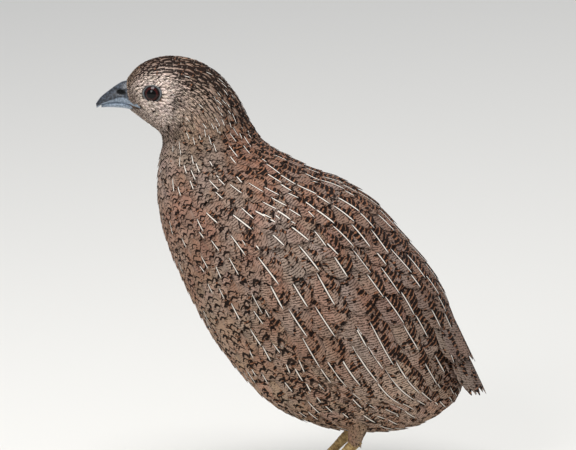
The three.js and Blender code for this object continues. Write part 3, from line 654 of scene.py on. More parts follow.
# The small feathers of head, neck, breast and belly: thin closed vanes, each rooted under the surface
# and lying tailwards over the roots of the next. They keep a distance that grows from face to flank.
def vane_template(columns, rows, tip, narrow, blunt=2.4):
    """One feather's points (across, along, whether underneath), its quads and which are its rim."""
    shape = bmesh.new()
    bmesh.ops.create_grid(shape, x_segments=columns, y_segments=rows, size=1)
    bmesh.ops.solidify(shape, geom=shape.verts[:] + shape.edges[:] + shape.faces[:], thickness=0.1)
    bmesh.ops.recalc_face_normals(shape, faces=shape.faces)
    points = np.array([vertex.co for vertex in shape.verts])
    faces = np.array([[vertex.index for vertex in face.verts] for face in shape.faces])
    shape.free()
    across = points[:, 0]
    along = 1 - (1 - (points[:, 1] + 1) / 2) ** 1.4
    outline = narrow + (1 - narrow) * ease(along, -0.2, 0.45)
    rounded = 1 - np.clip((along - 0.55) / 0.45, 0, 1) ** blunt
    outline = outline * np.sqrt(np.clip(rounded, 0.1, 1))
    under = points[:, 2] < points[:, 2].mean()
    rim = under[faces].any(axis=1) & ~under[faces].all(axis=1)
    along = along - tip * across**2 * along**3
    return np.column_stack([across * outline, along, under]), faces, rim


BODY_MAP = 6.4  # radians round the body to one whole map
PATCH_HALF = 0.0015  # each feather's own patch of the map, to each side of its root's place
RISES = 0.32  # the power by which a feather rises from its root: low ones lift early
LEVELS = 0.03  # how far feathers lie over or under one another, for the coat's depth


def lies_of(surface, p, q, length, turn):
    """How a feather rooted at p, q moves along p and q for each millimetre forward and sideways."""
    flat = np.zeros(len(p))
    step = 0.01
    heart_p, heart_q = p, q
    for _ in range(2):  # the way a feather lies is read at its own middle
        ahead = surface(heart_p + step, heart_q, flat) - surface(heart_p - step, heart_q, flat)
        aside = surface(heart_p, heart_q + step, flat) - surface(heart_p, heart_q - step, flat)
        ahead, aside = ahead / (2 * step), aside / (2 * step)
        out = unit(surface(heart_p, heart_q, flat + 1) - surface(heart_p, heart_q, flat))
        tailwards = unit(ahead)
        sideways = unit(np.cross(tailwards, out))
        lie = tailwards * np.cos(turn) + sideways * np.sin(turn)
        beside = sideways * np.cos(turn) - tailwards * np.sin(turn)
        pp, qq, pq = (ahead * ahead).sum(1), (aside * aside).sum(1), (ahead * aside).sum(1)
        whole = np.maximum(pp * qq - pq * pq, 1e-9)
        steps = []
        for way in (lie, beside):
            a, b = (ahead * way).sum(1), (aside * way).sum(1)
            steps.append(np.stack([(qq * a - pq * b) / whole, (pp * b - pq * a) / whole], axis=1))
        heart_p = p + steps[0][:, 0] * length / 2
        heart_q = q + steps[0][:, 1] * length / 2
    return steps


def joined_mesh(name, places, faces, rim, count):
    """One mesh of many feathers that share their faces' pattern, with a crease round each rim."""
    each = len(places) // count
    quads = (faces[None] + (np.arange(count) * each)[:, None, None]).reshape(-1, 4)
    mesh = bpy.data.meshes.new(name)
    mesh.vertices.add(len(places))
    mesh.vertices.foreach_set("co", places.astype(np.float32).ravel())
    mesh.loops.add(quads.size)
    mesh.loops.foreach_set("vertex_index", quads.astype(np.int32).ravel())
    mesh.polygons.add(len(quads))
    mesh.polygons.foreach_set("loop_start", np.arange(0, quads.size, 4, dtype=np.int32))
    mesh.polygons.foreach_set("use_smooth", np.tile(~rim, count))
    mesh.update(calc_edges=True)
    return mesh


def lay_feathers(
    name,
    surface,
    spots,
    facts,
    template,
    nodes=(),
    slot="plumage_brown",
    unwrap=None,
    turns=0.0,
    spread=5.0,
    rise=0.04,
    camber=0.05,
    ragged=0.05,
    thick=0.08,
    tints=0.06,
    uneven=0.1,
):
    """Lays one feather at each spot of a surface and joins them all as one mesh.

    surface(p, q, lift) gives points in millimetres, and a feather points towards growing p, turned by
    turns and a random spread in degrees. rise is how far its tip stands over the surface, and unwrap
    its root's place on the map, which is given where the surface isn't the body's.
    """
    points, faces, rim = template
    count, each = len(spots), len(points)
    p, q = spots[:, 0], spots[:, 1]
    length = facts[:, LENGTH] * draws.uniform(1 - uneven, 1 + uneven, count)
    half = facts[:, WIDTH] / 2 * draws.uniform(0.92, 1.08, count)
    turn = np.radians(turns + draws.normal(0, spread, count))[:, None]
    depth = facts[:, DEPTH : DEPTH + 1]
    level = draws.uniform(-LEVELS, LEVELS, count)[:, None] * depth
    forward, sideways = lies_of(surface, p, q, length, turn)
    across = points[:, 0] * (1 + ragged * draws.normal(0, 1, (count, each)))
    along = points[:, 1] * (1 + 0.5 * ragged * draws.normal(0, 1, (count, each)))
    mm_across, mm_along = across * half[:, None], along * length[:, None]
    every_p = (p[:, None] + forward[:, :1] * mm_along + sideways[:, :1] * mm_across).ravel()
    every_q = (q[:, None] + forward[:, 1:] * mm_along + sideways[:, 1:] * mm_across).ravel()
    lift = (depth + rise) * np.clip(along, 0, 1) ** RISES - depth
    lift = lift - camber * half[:, None] * across**2 + level - points[:, 2] * thick
    places = surface(every_p, every_q, lift.ravel()) * MM
    mesh = joined_mesh(name, places, faces, rim, count)
    if unwrap is None:
        coat = coat_at(every_p, every_q)
        unwrap = np.column_stack([p / LAST_SLICE, 0.5 + q / BODY_MAP])
    else:
        coat = np.repeat(facts, each, axis=0)
    tint = draws.normal(1, tints, (count, 1)) * (1 + draws.normal(0, 0.015, (count, 3)))
    ground = np.clip(patched(coat, places / MM) * np.repeat(tint, each, axis=0), 0.002, 1)
    white = (draws.uniform(0, 1, count) < facts[:, SHAFT]) * draws.uniform(0.75, 1, count)
    white = white * np.clip(facts[:, WIDTH] / 8, 0.45, 1)
    coat[:, SHAFT] = np.repeat(white, each)
    dress(mesh, ground, np.repeat(draws.uniform(0, 1, count), each), coat[:, MARKS])
    patch = np.clip(unwrap, 0.004, 0.996)[:, None]
    patch = patch + PATCH_HALF * np.stack([across, 2 * along - 1], axis=2)
    mirrored = np.where(q < 0, -1, 1)[:, None]
    for title, pairs in {
        "OFBake": patch,
        "vane": np.stack([across * mirrored, along], axis=2),
        "barbs": np.stack([mm_across * mirrored, mm_along], axis=2),
    }.items():
        give_map(mesh, title, pairs.reshape(-1, 2))
    finished(name, mesh, feather_finish, nodes)


TRIES = 200000  # random roots, most of which are dropped
FIRST_ROOT = 0.12  # slice
DENSEST = 92  # the percentile of the need for roots, above which every try is kept
VENT_PLAIN = (16.4, 17.4)  # slices between which the white shafts fade out
UNDER_TRACKS = (0.9, 0.16)  # how far the small feathers reach in under the large: slices, radians
CELL = 5.0  # millimetres: roots are compared with those in the boxes next to their own
LEAST_LENGTH = 1.5
EYE = (49.4, 143.4)  # ahead and up
CLEAR_OF_EYE = 2.85
GAPE = (56.6, 138.2, 6.6, 2.2)  # the corner of the mouth: ahead, up, length, height
SIDE_OF_BACK = 62.0  # degrees: nearer the back than this the large streaked feathers lie
TRACK_START, TRACK_END = 5.4, 18.2  # the slices where they begin, on the nape, and end
FLANK_TURN, SHOULDER_TURN = 20.0, 12.0  # degrees
CROWN_START, CROWN_END, CROWN_SIDE = 0.9, 5.6, 48.0  # slices, and degrees from the back


def in_tracks(s, a):
    """Whether a place belongs to the large streaked feathers of back and wings."""
    degrees = degrees_from_back(a)
    along, across = wing_frame(s, a)
    on_back = (s > TRACK_START + ease(degrees, 20, SIDE_OF_BACK) * 2.6) & (degrees < SIDE_OF_BACK)
    on_wing = (along > 0) & (along < 1) & (np.abs(across) < 1)
    return (on_back | on_wing) & (s < TRACK_END)


def on_crown(s, a):
    """Whether a place belongs to the narrow streaked feathers of the crown."""
    inside = degrees_from_back(a) < CROWN_SIDE - 2.5 * np.abs(s - 3)
    return (s > CROWN_START) & (s < CROWN_END) & inside


def metric(s, a):
    """Millimetres along for each slice and around for each radian."""
    return [np.linalg.norm(slope, axis=1) for slope in slopes(s, a)]


def drooping(s, a):
    """How many degrees the feathers turn down on the rear flanks, and up at the shoulder."""
    degrees = degrees_from_back(a)
    on_side = ease(degrees, 30, 85) * ease(180 - degrees, 0, 40)
    at_shoulder = ease(s, 6.5, 8.5) * ease(12.5 - s, 0, 2)
    turn = FLANK_TURN * ease(s, 11.5, 15.5) - SHOULDER_TURN * at_shoulder
    return np.sign(a) * turn * on_side


def room(s, a):
    """Millimetres along the surface from each root to just before the vent's tip."""
    shares = np.linspace(0, 1, 12)
    slices = s[:, None] + (LAST_SLICE - 0.15 - s)[:, None] * shares
    points = bare_body(slices.ravel(), np.repeat(a, len(shares))).reshape(len(s), len(shares), 3)
    return np.linalg.norm(np.diff(points, axis=1), axis=2).sum(axis=1) / 1.1


def oval(points, ahead, up, long, high):
    """1 in the middle of an oval seen from the side and 0 outside it."""
    away = ((-points[:, 1] - ahead) / (long / 2)) ** 2 + ((points[:, 2] - up) / (high / 2)) ** 2
    return ease(1 - away, 0, 1)


def scattered():
    """Roots over head and body that keep the coat's own distance apart."""
    s = draws.uniform(FIRST_ROOT, LAST_SLICE, TRIES)
    a = draws.uniform(-math.pi, math.pi, TRIES)
    facts = coat_at(s, a)
    along, around = metric(s, a)
    worth = along * around / facts[:, APART] ** 2
    keep = draws.uniform(0, 1, TRIES) < worth / np.percentile(worth, DENSEST)
    facts[:, LENGTH] = np.minimum(facts[:, LENGTH], room(s, a))
    facts[:, SHAFT] *= 1 - ease(s, *VENT_PLAIN)
    keep &= facts[:, LENGTH] > LEAST_LENGTH
    deep = in_tracks(s, a) & in_tracks(s - UNDER_TRACKS[0], a)
    for turn in (UNDER_TRACKS[1], -UNDER_TRACKS[1]):
        deep &= in_tracks(s, a + turn)
    keep &= ~deep & ~on_crown(s - 0.3, a)
    s, a, facts = s[keep], a[keep], facts[keep]
    boxes = {}
    chosen = []
    neighbours = [(i, j, k) for i in (-1, 0, 1) for j in (-1, 0, 1) for k in (-1, 0, 1)]
    for i, (x, y, z) in enumerate(bare_body(s, a).tolist()):
        gap = facts[i, APART] / 2
        home = (int(x // CELL), int(y // CELL), int(z // CELL))
        near = (boxes.get((home[0] + u, home[1] + v, home[2] + w), ()) for u, v, w in neighbours)
        if all(
            (ox - x) ** 2 + (oy - y) ** 2 + (oz - z) ** 2 >= (gap + other) ** 2
            for box in near
            for ox, oy, oz, other in box
        ):
            boxes.setdefault(home, []).append((x, y, z, gap))
            chosen.append(i)
    return s[chosen], a[chosen], facts[chosen]


body_s, body_a, body_facts = scattered()
per_slice = metric(body_s, body_a)[0]
clear = np.ones(len(body_s), bool)
for share in (0, 0.5, 0.9):  # of the feather's length
    spot = bare_body(body_s + share * body_facts[:, LENGTH] / per_slice, body_a)
    clear &= np.hypot(-spot[:, 1] - EYE[0], spot[:, 2] - EYE[1]) > CLEAR_OF_EYE
    clear &= oval(spot, *GAPE) <= 0
clear |= body_s > 4
tiny_vane = vane_template(2, 3, 0.25, 0.5)
small_vane = vane_template(4, 6, 0.08, 0.4)
FINE = {"slot": "plumage_face", "spread": 9.0, "thick": 0.04, "rise": 0.02, "tints": 0.19}
COARSE = {"tints": 0.07}
REGIONS = {  # the slices that each piece covers, its feathers' form and how they lie
    "face_feathers": (0, 2.6, tiny_vane, FINE),
    "head_feathers": (2.6, 5, tiny_vane, FINE),
    "neck_feathers": (5, 9, small_vane, COARSE),
    "breast_feathers": (9, 13, small_vane, COARSE),
    "belly_feathers": (13, 99, small_vane, COARSE),
}
for name, (first, last, template, looks) in REGIONS.items():
    chosen = (body_s >= first) & (body_s < last) & clear
    spots = np.column_stack([body_s, body_a])[chosen]
    turns = drooping(spots[:, 0], spots[:, 1])
    lay_feathers(name, body_surface, spots, body_facts[chosen], template, turns=turns, **looks)


# The large feathers of back and wings: they stand in tracks that run from the nape and the shoulder to
# the tail, each with a long white shaft, so that the shafts join into broken lines. The crown's small
# streaked feathers stand in tracks too.
TRACK_DEGREES, CROWN_DEGREES = 11.5, 7.0
MOST_APART = 10.5
QUILLS_FROM = (0.62, -0.05)  # along and across the wing: past this its quills show


def track_roots(apart, first, last, widest, step, least):
    """Roots on tracks some degrees apart, each second one staggered: slice, angle, width, gap."""
    rows = []
    for side in (1, -1):
        for track in range(int(widest / apart)):
            a = side * math.radians((track + 0.5) * apart)
            s = np.linspace(first, last, 400)
            along, around = metric(s, np.full_like(s, a))
            width = around * math.radians(apart)
            gap = np.clip(step * width, least, MOST_APART)
            passed = np.cumsum(along * (s[1] - s[0]) / gap)
            columns = (s, 0 * s + a, width, gap)
            start = track % 2 * 0.5 + draws.uniform(-0.15, 0.15)
            for mark in np.arange(start, passed[-1], 1.0):
                rows.append([np.interp(mark, passed, values) for values in columns])
    return np.array(rows)


def shaken(roots, along, around, lengths, widths):
    """Moves roots a little out of line, and gives their feathers' facts from each root's gap and width.

    lengths and widths say how many times the gap or the width, the least and the most.
    """
    roots[:, 0] += draws.normal(0, along, len(roots))
    roots[:, 1] += np.radians(draws.normal(0, around, len(roots)))
    facts = coat_at(roots[:, 0], roots[:, 1])
    for fact, column, (times, least, most) in ((LENGTH, 3, lengths), (WIDTH, 2, widths)):
        facts[:, fact] = np.clip(roots[:, column] * times, least, most)
    return facts


crown = track_roots(CROWN_DEGREES, 0.6, CROWN_END, 70, 1.5, 1.6)
crown = crown[on_crown(crown[:, 0] + 0.2, crown[:, 1])]
facts = shaken(crown, 0.09, 1.3, (2.4, 3.0, 6.5), (1.9, 1.0, 2.6))
looks = {"slot": "plumage_face", "spread": 4.0, "tints": 0.1}
lay_feathers("crown_feathers", body_surface, crown[:, :2], facts, small_vane, **looks)

roots = track_roots(TRACK_DEGREES, TRACK_START, TRACK_END, 130, 1.35, 2.6)
roots = roots[in_tracks(roots[:, 0] + 0.3, roots[:, 1])]
facts = shaken(roots, 0.05, 1.2, (1.9, 4, 20), (1.55, 2.4, 10.5))
facts[:, LENGTH] = np.minimum(facts[:, LENGTH], room(roots[:, 0], roots[:, 1]))
along, across = wing_frame(roots[:, 0], roots[:, 1])
on_wing = (along > 0) & (along < 1) & (np.abs(across) < 0.97)
shown = ~on_wing | (along <= QUILLS_FROM[0]) | (across <= QUILLS_FROM[1])
TRACTS = {
    "back_feathers": (~on_wing, (), "plumage_brown"),
    "wing_left_coverts": (on_wing & (roots[:, 1] > 0), ("wing_left",), "plumage_wing"),
    "wing_right_coverts": (on_wing & (roots[:, 1] < 0), ("wing_right",), "plumage_wing"),
}
large_vane = vane_template(8, 12, 0.06, 0.35)
looks = {"spread": 2.5, "rise": 0.08, "camber": 0.04, "ragged": 0.03}
for name, (tract, nodes, slot) in TRACTS.items():
    chosen = tract & shown
    spots = roots[chosen, :2]
    turns = drooping(spots[:, 0], spots[:, 1])
    feathers = (name, body_surface, spots, facts[chosen], large_vane, nodes, slot)
    lay_feathers(*feathers, turns=turns, **looks)

# The wing's quills: long secondaries and under them primaries, whose blades lie one over the other
# along the rear of the folded wing, the uppermost nearest the back.
WING_QUILLS = [  # along, across from and to, length, width, how many
    (0.47, -0.35, 0.95, 30.0, 10.5, 8),
    (0.6, -0.3, 0.9, 30.0, 9.5, 7),
    (0.72, -0.2, 0.8, 25.0, 8.0, 6),
]
QUILL_STEP = 0.1  # how far each quill lies under the one before it


def stacked(surface, heights):
    """A surface with each feather that lies on it at its own height."""
    return lambda p, q, lift: surface(p, q, lift + np.repeat(heights, len(p) // len(heights)))


looks = {"slot": "plumage_wing", "spread": 1, "rise": 0}
looks |= {"camber": 0.03, "ragged": 0.015, "uneven": 0.04}
for side, side_name in ((1, "left"), (-1, "right")):
    rows = []
    for along, first, last, long, wide, many in WING_QUILLS:
        for k in range(many):
            at_across = first + (last - first) * k / (many - 1)
            lies = along + draws.uniform(-0.01, 0.01) - 0.03 * abs(at_across)
            where = np.array([lies * (len(WING_MIDDLE) - 1)])
            degrees = through(WING_MIDDLE, where)[0] + at_across * through(WING_SPREAD, where)[0]
            s = WING_START + lies * (WING_END - WING_START)
            rows.append((s, side * math.radians(degrees), long, wide, QUILL_STEP * (many / 2 - k)))
    rows = np.array(rows)
    s, a, lengths, widths, heights = rows.T
    facts = coat_at(s + 1.0, a)
    facts[:, LENGTH] = np.minimum(lengths, room(s, a))
    facts[:, WIDTH] = widths
    layers = stacked(body_surface, heights)
    feathers = (f"wing_{side_name}_quills", layers, rows[:, :2], facts, large_vane)
    lay_feathers(*feathers, (f"wing_{side_name}",), turns=0.6 * drooping(s, a), **looks)

# The tail: short soft quills that droop from the rump in a shallow arch, with coverts over and under
# them. It stands on a sheet of its own, behind the body.
TAIL_ROOT = (-52.5, 67.5)  # ahead and up
TAIL_FALL = math.radians(66)
TAIL_ARCH = 0.03
TAIL_SHAFTS = 0.25  # the share of tail feathers with a white shaft
TAIL_DEPTH = 1.2
TAIL_COAT = (17.2, 0.3)  # the place of the body whose colours it has


def tail_surface(p, q, lift):
    """Points of the tail's sheet, p millimetres from its root and q to the left."""
    low = lift - TAIL_ARCH * q**2
    ahead = TAIL_ROOT[0] - p * math.cos(TAIL_FALL) - low * math.sin(TAIL_FALL)
    up = TAIL_ROOT[1] - p * math.sin(TAIL_FALL) + low * math.cos(TAIL_FALL)
    return np.stack([q, -ahead, up], axis=1)


TAIL_TIERS = {  # feathers, start, length, width, spread, fan, height, rise, step, shorter
    "tail_quills": (10, -2, 38.0, 9.5, 1.5, 2.0, 0.0, 0.4, 0.1, 0.6),
    "upper_tail_coverts": (11, -6, 30.0, 9.0, 2.2, 2.0, 1.0, 0.4, 0.05, 0.9),
    "under_tail_coverts": (9, 3, 27.0, 8.5, 2.1, 2.2, -2.4, 0.4, -0.05, 0.7),
    "vent_coverts": (9, 11, 19.0, 7.5, 1.7, 2.4, -5.0, 1.2, -0.1, 0.8),
}
tail_vane = vane_template(8, 12, 0.1, 0.35, 7.0)
looks = {"slot": "plumage_tail", "spread": 0.5, "camber": 0.02, "ragged": 0.01, "uneven": 0.02}
for name, tier in TAIL_TIERS.items():
    many, start, length, width, spread, fan, height, rise, step, shorter = tier
    order = np.arange(many) - (many - 1) / 2
    spots = np.column_stack([np.full(many, float(start)), order * spread])
    facts = coat_at(*(np.full(many, place) for place in TAIL_COAT))
    facts[:, SHAFT] = TAIL_SHAFTS
    facts[:, LENGTH] = length - shorter * np.abs(order)
    facts[:, WIDTH] = width
    facts[:, DEPTH] = TAIL_DEPTH
    sheet = stacked(tail_surface, height - step * np.abs(order))
    unwrap = np.column_stack([np.full(many, 0.5), 0.1 + 0.8 * np.arange(many) / many])
    nodes = ("tail",) if name == "tail_quills" else ()
    feathers = (name, sheet, spots, facts, tail_vane, nodes)
    lay_feathers(*feathers, unwrap=unwrap, turns=order * fan, rise=rise, **looks)

# The bill: two sheaths of horn, the upper slate-black with a hooked tip and a nostril under a soft lid,
# the lower and the cutting edges pale blue-grey, worn and scuffed.
UPPER_BILL = np.array(
    [
        (53.5, 137.9, 56.0, 146.6, 6.3, -0.8),  # the corner of the mouth
        (56.0, 138.2, 57.9, 146.5, 4.8, -0.65),
        (58.6, 138.4, 60.0, 146.0, 3.7, -0.35),
        (61.4, 138.6, 62.3, 144.6, 3.0, -0.25),
        (64.4, 138.5, 65.0, 142.6, 2.4, -0.25),
        (66.9, 137.9, 67.4, 140.6, 1.6, -0.2),
        (68.8, 136.7, 69.1, 138.3, 0.7, 0.0),
    ]
)
LOWER_BILL = np.array(
    [
        (54.5, 135.4, 54.0, 138.2, 3.0, 0.2),
        (58.6, 136.6, 58.3, 139.0, 2.9, 0.25),
        (61.6, 136.9, 61.5, 139.1, 2.5, 0.25),
        (64.6, 137.0, 64.5, 138.8, 1.8, 0.25),
        (67.2, 136.9, 67.2, 138.1, 0.9, 0.2),
    ]
)
NOSTRIL = (60.3, 142.8, 3.8, 2.2)  # ahead, up, length, height
NOSTRIL_LID = (59.8, 144.1, 4.4, 1.4)
NOSTRIL_DEEP, LID_PROUD = 0.9, 0.45
RIDGE_HALF = 0.8  # nearer the middle plane than this the bill has neither


def bill_place(rows, roundness):
    """Where the points of a sheath lie: closed sections, with the nostrils and their lids."""

    def place(turns, shares):
        where, drawn_in = closed_ends(shares, 0.06)
        row = through(rows, where * (len(rows) - 1))
        points = section(row, turns)
        axis = (section(row, 0 * turns) + section(row, 0 * turns + math.pi)) / 2
        points = axis + (points - axis) * (drawn_in**roundness)[:, None]
        outwards = np.sign(points[:, 0])
        for dent, spot in ((-NOSTRIL_DEEP, NOSTRIL), (LID_PROUD, NOSTRIL_LID)):
            at_side = np.abs(points[:, 0]) > RIDGE_HALF
            points[:, 0] += outwards * dent * oval(points, *spot) * at_side
        return points

    return place


horn_finish, shader = plain_material("bill_horn", "3a3f47", 0.34)
wire = Wiring(horn_finish.node_tree)
place = wire.millimetres()
scuffs = wire.noise(place, 1.4, 4.0, 0.65)
grain = wire.noise(place, 5.0, 3.0)
pale, painted_nostril_shade, _ = wire.parts("pale")
dark_horn = wire.mix(wire.ramp(scuffs, 0.42, 0.66), "17191d", "454c56")
pale_horn = wire.mix(wire.ramp(scuffs, 0.35, 0.65), "66727f", "97a5b4")
colour = wire.mix(pale, dark_horn, pale_horn)
# Painted shade: the horn is painted near-black over the nostril, for its opening and the shade under
# its lid.
wire.feed(shader["Base Color"], wire.mix(wire.product(painted_nostril_shade, 0.97), colour, "050505"))
wire.feed(shader["Roughness"], wire.math("MAXIMUM", painted_nostril_shade, wire.line(scuffs, 0.35, 0.22)))
wire.bump(shader, wire.line(scuffs, 1.0, wire.product(grain, 0.4)), 0.4, 0.0002)

BILL = {"bill_upper": (UPPER_BILL, "horn_dark"), "bill_lower": (LOWER_BILL, "horn_pale")}
for name, (rows, slot) in BILL.items():
    mesh, turns, shares = formed_mesh(name + "_horn", 64, 72, bill_place(rows, 0.8))
    points = np.array([vertex.co for vertex in mesh.vertices]) / MM
    if name == "bill_upper":
        darker_down_to = 82 + 24 * ease(shares, 0.35, 0.85)
        edge = ease(degrees_from_back(turns) - darker_down_to, 0, 13)
        # The nostril's oval is painted shade, near-black, for its opening and the shade under its lid.
        nostril_shade = np.clip(2.5 * oval(points, *NOSTRIL), 0, 1)
    else:
        edge = 1 - 0.55 * ease(shares, 0.75, 0.95)
        nostril_shade = 0 * shares
    give_colours(mesh, "pale", edge, nostril_shade)
    finished(name + "_horn", mesh, horn_finish, (name,))

# The eyes: a wet clear ball with a black pupil and a dark red-brown iris, in a ring of bare blue-grey
# lid, which reaches back to the face all round.
EYE_RADIUS, EYE_OPEN = 3.3, 2.65
EYE_OUT = 8.7 - 0.15  # how far from the middle plane the open eye's edge lies
EYE_FORWARD = math.radians(14)
PUPIL, IRIS = 1.7, 2.35  # radii in millimetres
LID_RING, LID_THICK = 2.82, 0.38
LID_DEEP, LID_FLARE = 2.0, 0.35  # how far the lids' outer side reaches back to the face, and outwards
LID_ALMOND = 0.07  # how much longer the lids are at the eye's two corners
LID_HEIGHTS = (0.93, 0.96)  # the upper and the lower lid's, for a round one's
sunk = math.sqrt(EYE_RADIUS**2 - EYE_OPEN**2)


def ball_place(middle, radii, axes):
    """Where the points of a ball lie, kept above the floor."""

    def place(turns, shares):
        polar = shares * math.pi
        around = [np.sin(polar) * np.cos(turns), np.sin(polar) * np.sin(turns), np.cos(polar)]
        points = np.array(middle) + np.stack(around, axis=1) * radii @ np.array(axes)
        points[:, 2] = np.maximum(points[:, 2], 0)
        return points

    return place


eye_finish, shader = plain_material("eye_iris", "1c0d0a", 0.015)
shader["IOR"].default_value = 1.38
shader["Specular IOR Level"].default_value = 0.35
wire = Wiring(eye_finish.node_tree)
out_from, round_it, _ = wire.uv("iris")
rays = wire.vector(wire.product(out_from, 0.4), wire.product(round_it, 9.0), 0.0)
iris = wire.mix(wire.ramp(wire.noise(rays, 2.2, 3.0), 0.35, 0.7), "1c0807", "481612")
colour = wire.mix(wire.ramp(out_from, PUPIL - 0.1, PUPIL + 0.05), "020202", iris)
colour = wire.mix(wire.ramp(out_from, IRIS - 0.15, IRIS + 0.15), colour, "060404")
wire.feed(shader["Base Color"], colour)

lid_finish, shader = plain_material("eyelid_skin", "6f7780", 0.6)
wire = Wiring(lid_finish.node_tree)
pimples = wire.noise(wire.millimetres(), 5.0, 3.0)
colour = wire.mix(wire.ramp(pimples, 0.3, 0.7), "3f4346", "74797c")
wire.feed(shader["Base Color"], wire.mix(wire.parts("inner")[0], colour, "17120f"))
wire.bump(shader, pimples, 0.5, 0.00015)

for sign, side_name in ((1, "left"), (-1, "right")):
    look = Vector((sign * math.cos(EYE_FORWARD), -math.sin(EYE_FORWARD), 0.03)).normalized()
    middle = Vector((sign * EYE_OUT, -EYE[0], EYE[1])) - look * sunk
    across = look.cross(Vector((0, 0, 1))).normalized()
    upright = across.cross(look)
    axes = Matrix([across, upright, look])

    ball = ball_place(middle, EYE_RADIUS, axes)
    mesh, turns, shares = formed_mesh("eyeball_" + side_name, 48, 32, ball)
    off_axis = EYE_RADIUS * np.where(shares < 0.5, np.sin(shares * math.pi), 1)
    give_map(mesh, "iris", np.column_stack([off_axis, turns]))
    finished("eyeball_" + side_name, mesh, eye_finish, ("eye_" + side_name,))

    shape = bmesh.new()
    ring = bmesh.ops.create_circle(shape, segments=14, radius=1)["verts"]
    for vertex in ring:
        off, back = vertex.co.x, max(0, -vertex.co.y)
        high = 0.5 * LID_THICK * max(0, vertex.co.y) - LID_DEEP * back
        vertex.co = Vector((LID_RING + LID_THICK * off + LID_FLARE * back, 0, high))
    whole_turn = {"cent": (0, 0, 0), "axis": (0, 0, 1), "angle": 2 * math.pi, "steps": 56}
    bmesh.ops.spin(shape, geom=shape.edges[:], use_merge=True, **whole_turn)
    bmesh.ops.remove_doubles(shape, verts=shape.verts, dist=0.001)
    for vertex in shape.verts:
        x, y, z = vertex.co
        x *= 1 + LID_ALMOND * math.cos(math.atan2(y, x)) ** 6
        y *= LID_HEIGHTS[0] if y > 0 else LID_HEIGHTS[1]
        out = look * (sunk - 0.05) + axes.transposed() @ Vector((x, y, z))
        vertex.co = (middle + out) * MM
    mesh = smooth_mesh(shape, "eyelids_" + side_name)
    points = np.array([vertex.co for vertex in mesh.vertices]) / MM - np.array(middle)
    off_axis = np.linalg.norm((points @ np.array(axes).T)[:, :2], axis=1)
    give_colours(mesh, "inner", 1 - ease(off_axis, 2.8, 3.1))
    finished("eyelids_" + side_name, mesh, lid_finish, ())

# The legs' sleeves: soft feathers in rings round the thigh, over the hock and a little way down the
# shank, plainer and shorter than the belly's.
MUFF_FEATHERS_APART = 1.25
MUFF_MARKS = (0, 0.3, 0.6, 0, 0, 1, 1)  # how much of the belly's marks they have
MUFF_COAT = (17.5, 2.9)  # the place of the body whose colours they have


def muff_surface(sign):
    """A leg's sleeve of feathers, p millimetres down it and q radians round it, and how long it is."""
    path = muff_path(sign)
    whole = np.linalg.norm(np.diff(path, axis=0), axis=1).sum()

    def surface(p, q, lift):
        where = np.clip(p / whole, 0, 1)
        row = where * (len(path) - 1)
        points, way = limb_points(path, row, AHEAD, q, muff_radius(where) + lift)
        return points + way * (p - where * whole)[:, None]

    return surface, whole


for sign, side_name in ((1, "left"), (-1, "right")):
    surface, whole = muff_surface(sign)
    rows = []
    for ring, p in enumerate(np.arange(2, whole - 1.5, MUFF_FEATHERS_APART)):
        radius = muff_radius(p / whole)
        many = max(6, int(2 * math.pi * radius / MUFF_FEATHERS_APART))
        for k in range(many):
            turn = 2 * math.pi * (k + ring % 2 / 2) / many
            rows.append((p + draws.uniform(-0.3, 0.3), turn, radius))
    rows = np.array(rows)
    down, turns, radii = rows.T
    facts = coat_at(*(np.full(len(rows), place) for place in MUFF_COAT))
    facts[:, LENGTH] = 2.8 + 0.5 * (radii - MUFF_BOTTOM)
    facts[:, WIDTH] = 1.7 + 0.2 * radii
    facts[:, MARKS] *= MUFF_MARKS
    facts[:, DEPTH] = MUFF_DEPTH
    unwrap = np.column_stack([0.1 + 0.8 * down / whole, turns / BODY_MAP])
    feathers = ("muff_" + side_name, surface, rows[:, :2], facts, tiny_vane)
    lay_feathers(*feathers, unwrap=unwrap, spread=6.0, tints=0.1)

# The legs and feet: bare dull-yellow skin with broad overlapping scutes down the front of the shank and
# over each toe, small round scales behind, pads under the toes, and dark horn claws.
SHANK_RADII = (2.1, 1.45, 1.9)
SHANK_SCUTES, SHANK_PROUD, TOE_PROUD = 13, 0.14, 0.12
TOES = {  # turn outwards from straight ahead, length, root's radius and rise, tip's radius, scutes
    "inner": (-38, 14.5, 1.55, 0, 0.95, 11),
    "middle": (0, 19.5, 1.7, 0, 1.0, 15),
    "outer": (36, 15.5, 1.55, 0, 0.95, 12),
    "hind": (-168, 6.5, 1.25, 0.9, 0.8, 5),
}
CLAW_LONG, CLAW_ROOT, CLAW_DROP = 4.2, 0.75, 0.3
PAD_RADII = (3.0, 3.4, 2.2)
UP = np.array([0.0, 0.0, 1.0])


def toe_path(sign, turn, long, root, rise, *_):
    """The middle line of a toe, arched a little over the floor; it needs no more of the toe's row."""
    turn = math.radians(turn)
    rows = []
    for share in (0, 0.3, 0.65, 1):
        up = root * 0.65 + rise * (1 - share) + 0.35 * math.sin(math.pi * share) - 0.4 * share
        out = long * share
        rows.append(leg_place(sign, out * math.cos(turn), out * math.sin(turn), up))
    return np.array(rows)


def shank_radius(where):
    return np.interp(where, (0, 0.5, 1), SHANK_RADII)


def toe_radius(root, tip):
    """A toe's radius along it, with its knuckles."""

    def radius(where):
        knuckles = 1 + 0.1 * np.cos(6 * math.pi * where)
        return (root + (tip - root) * where) * knuckles * np.minimum(1, 6 * (1 - where) + 0.35)

    return radius


def claw_radius(where):
    return CLAW_ROOT * (1 - 0.85 * where)


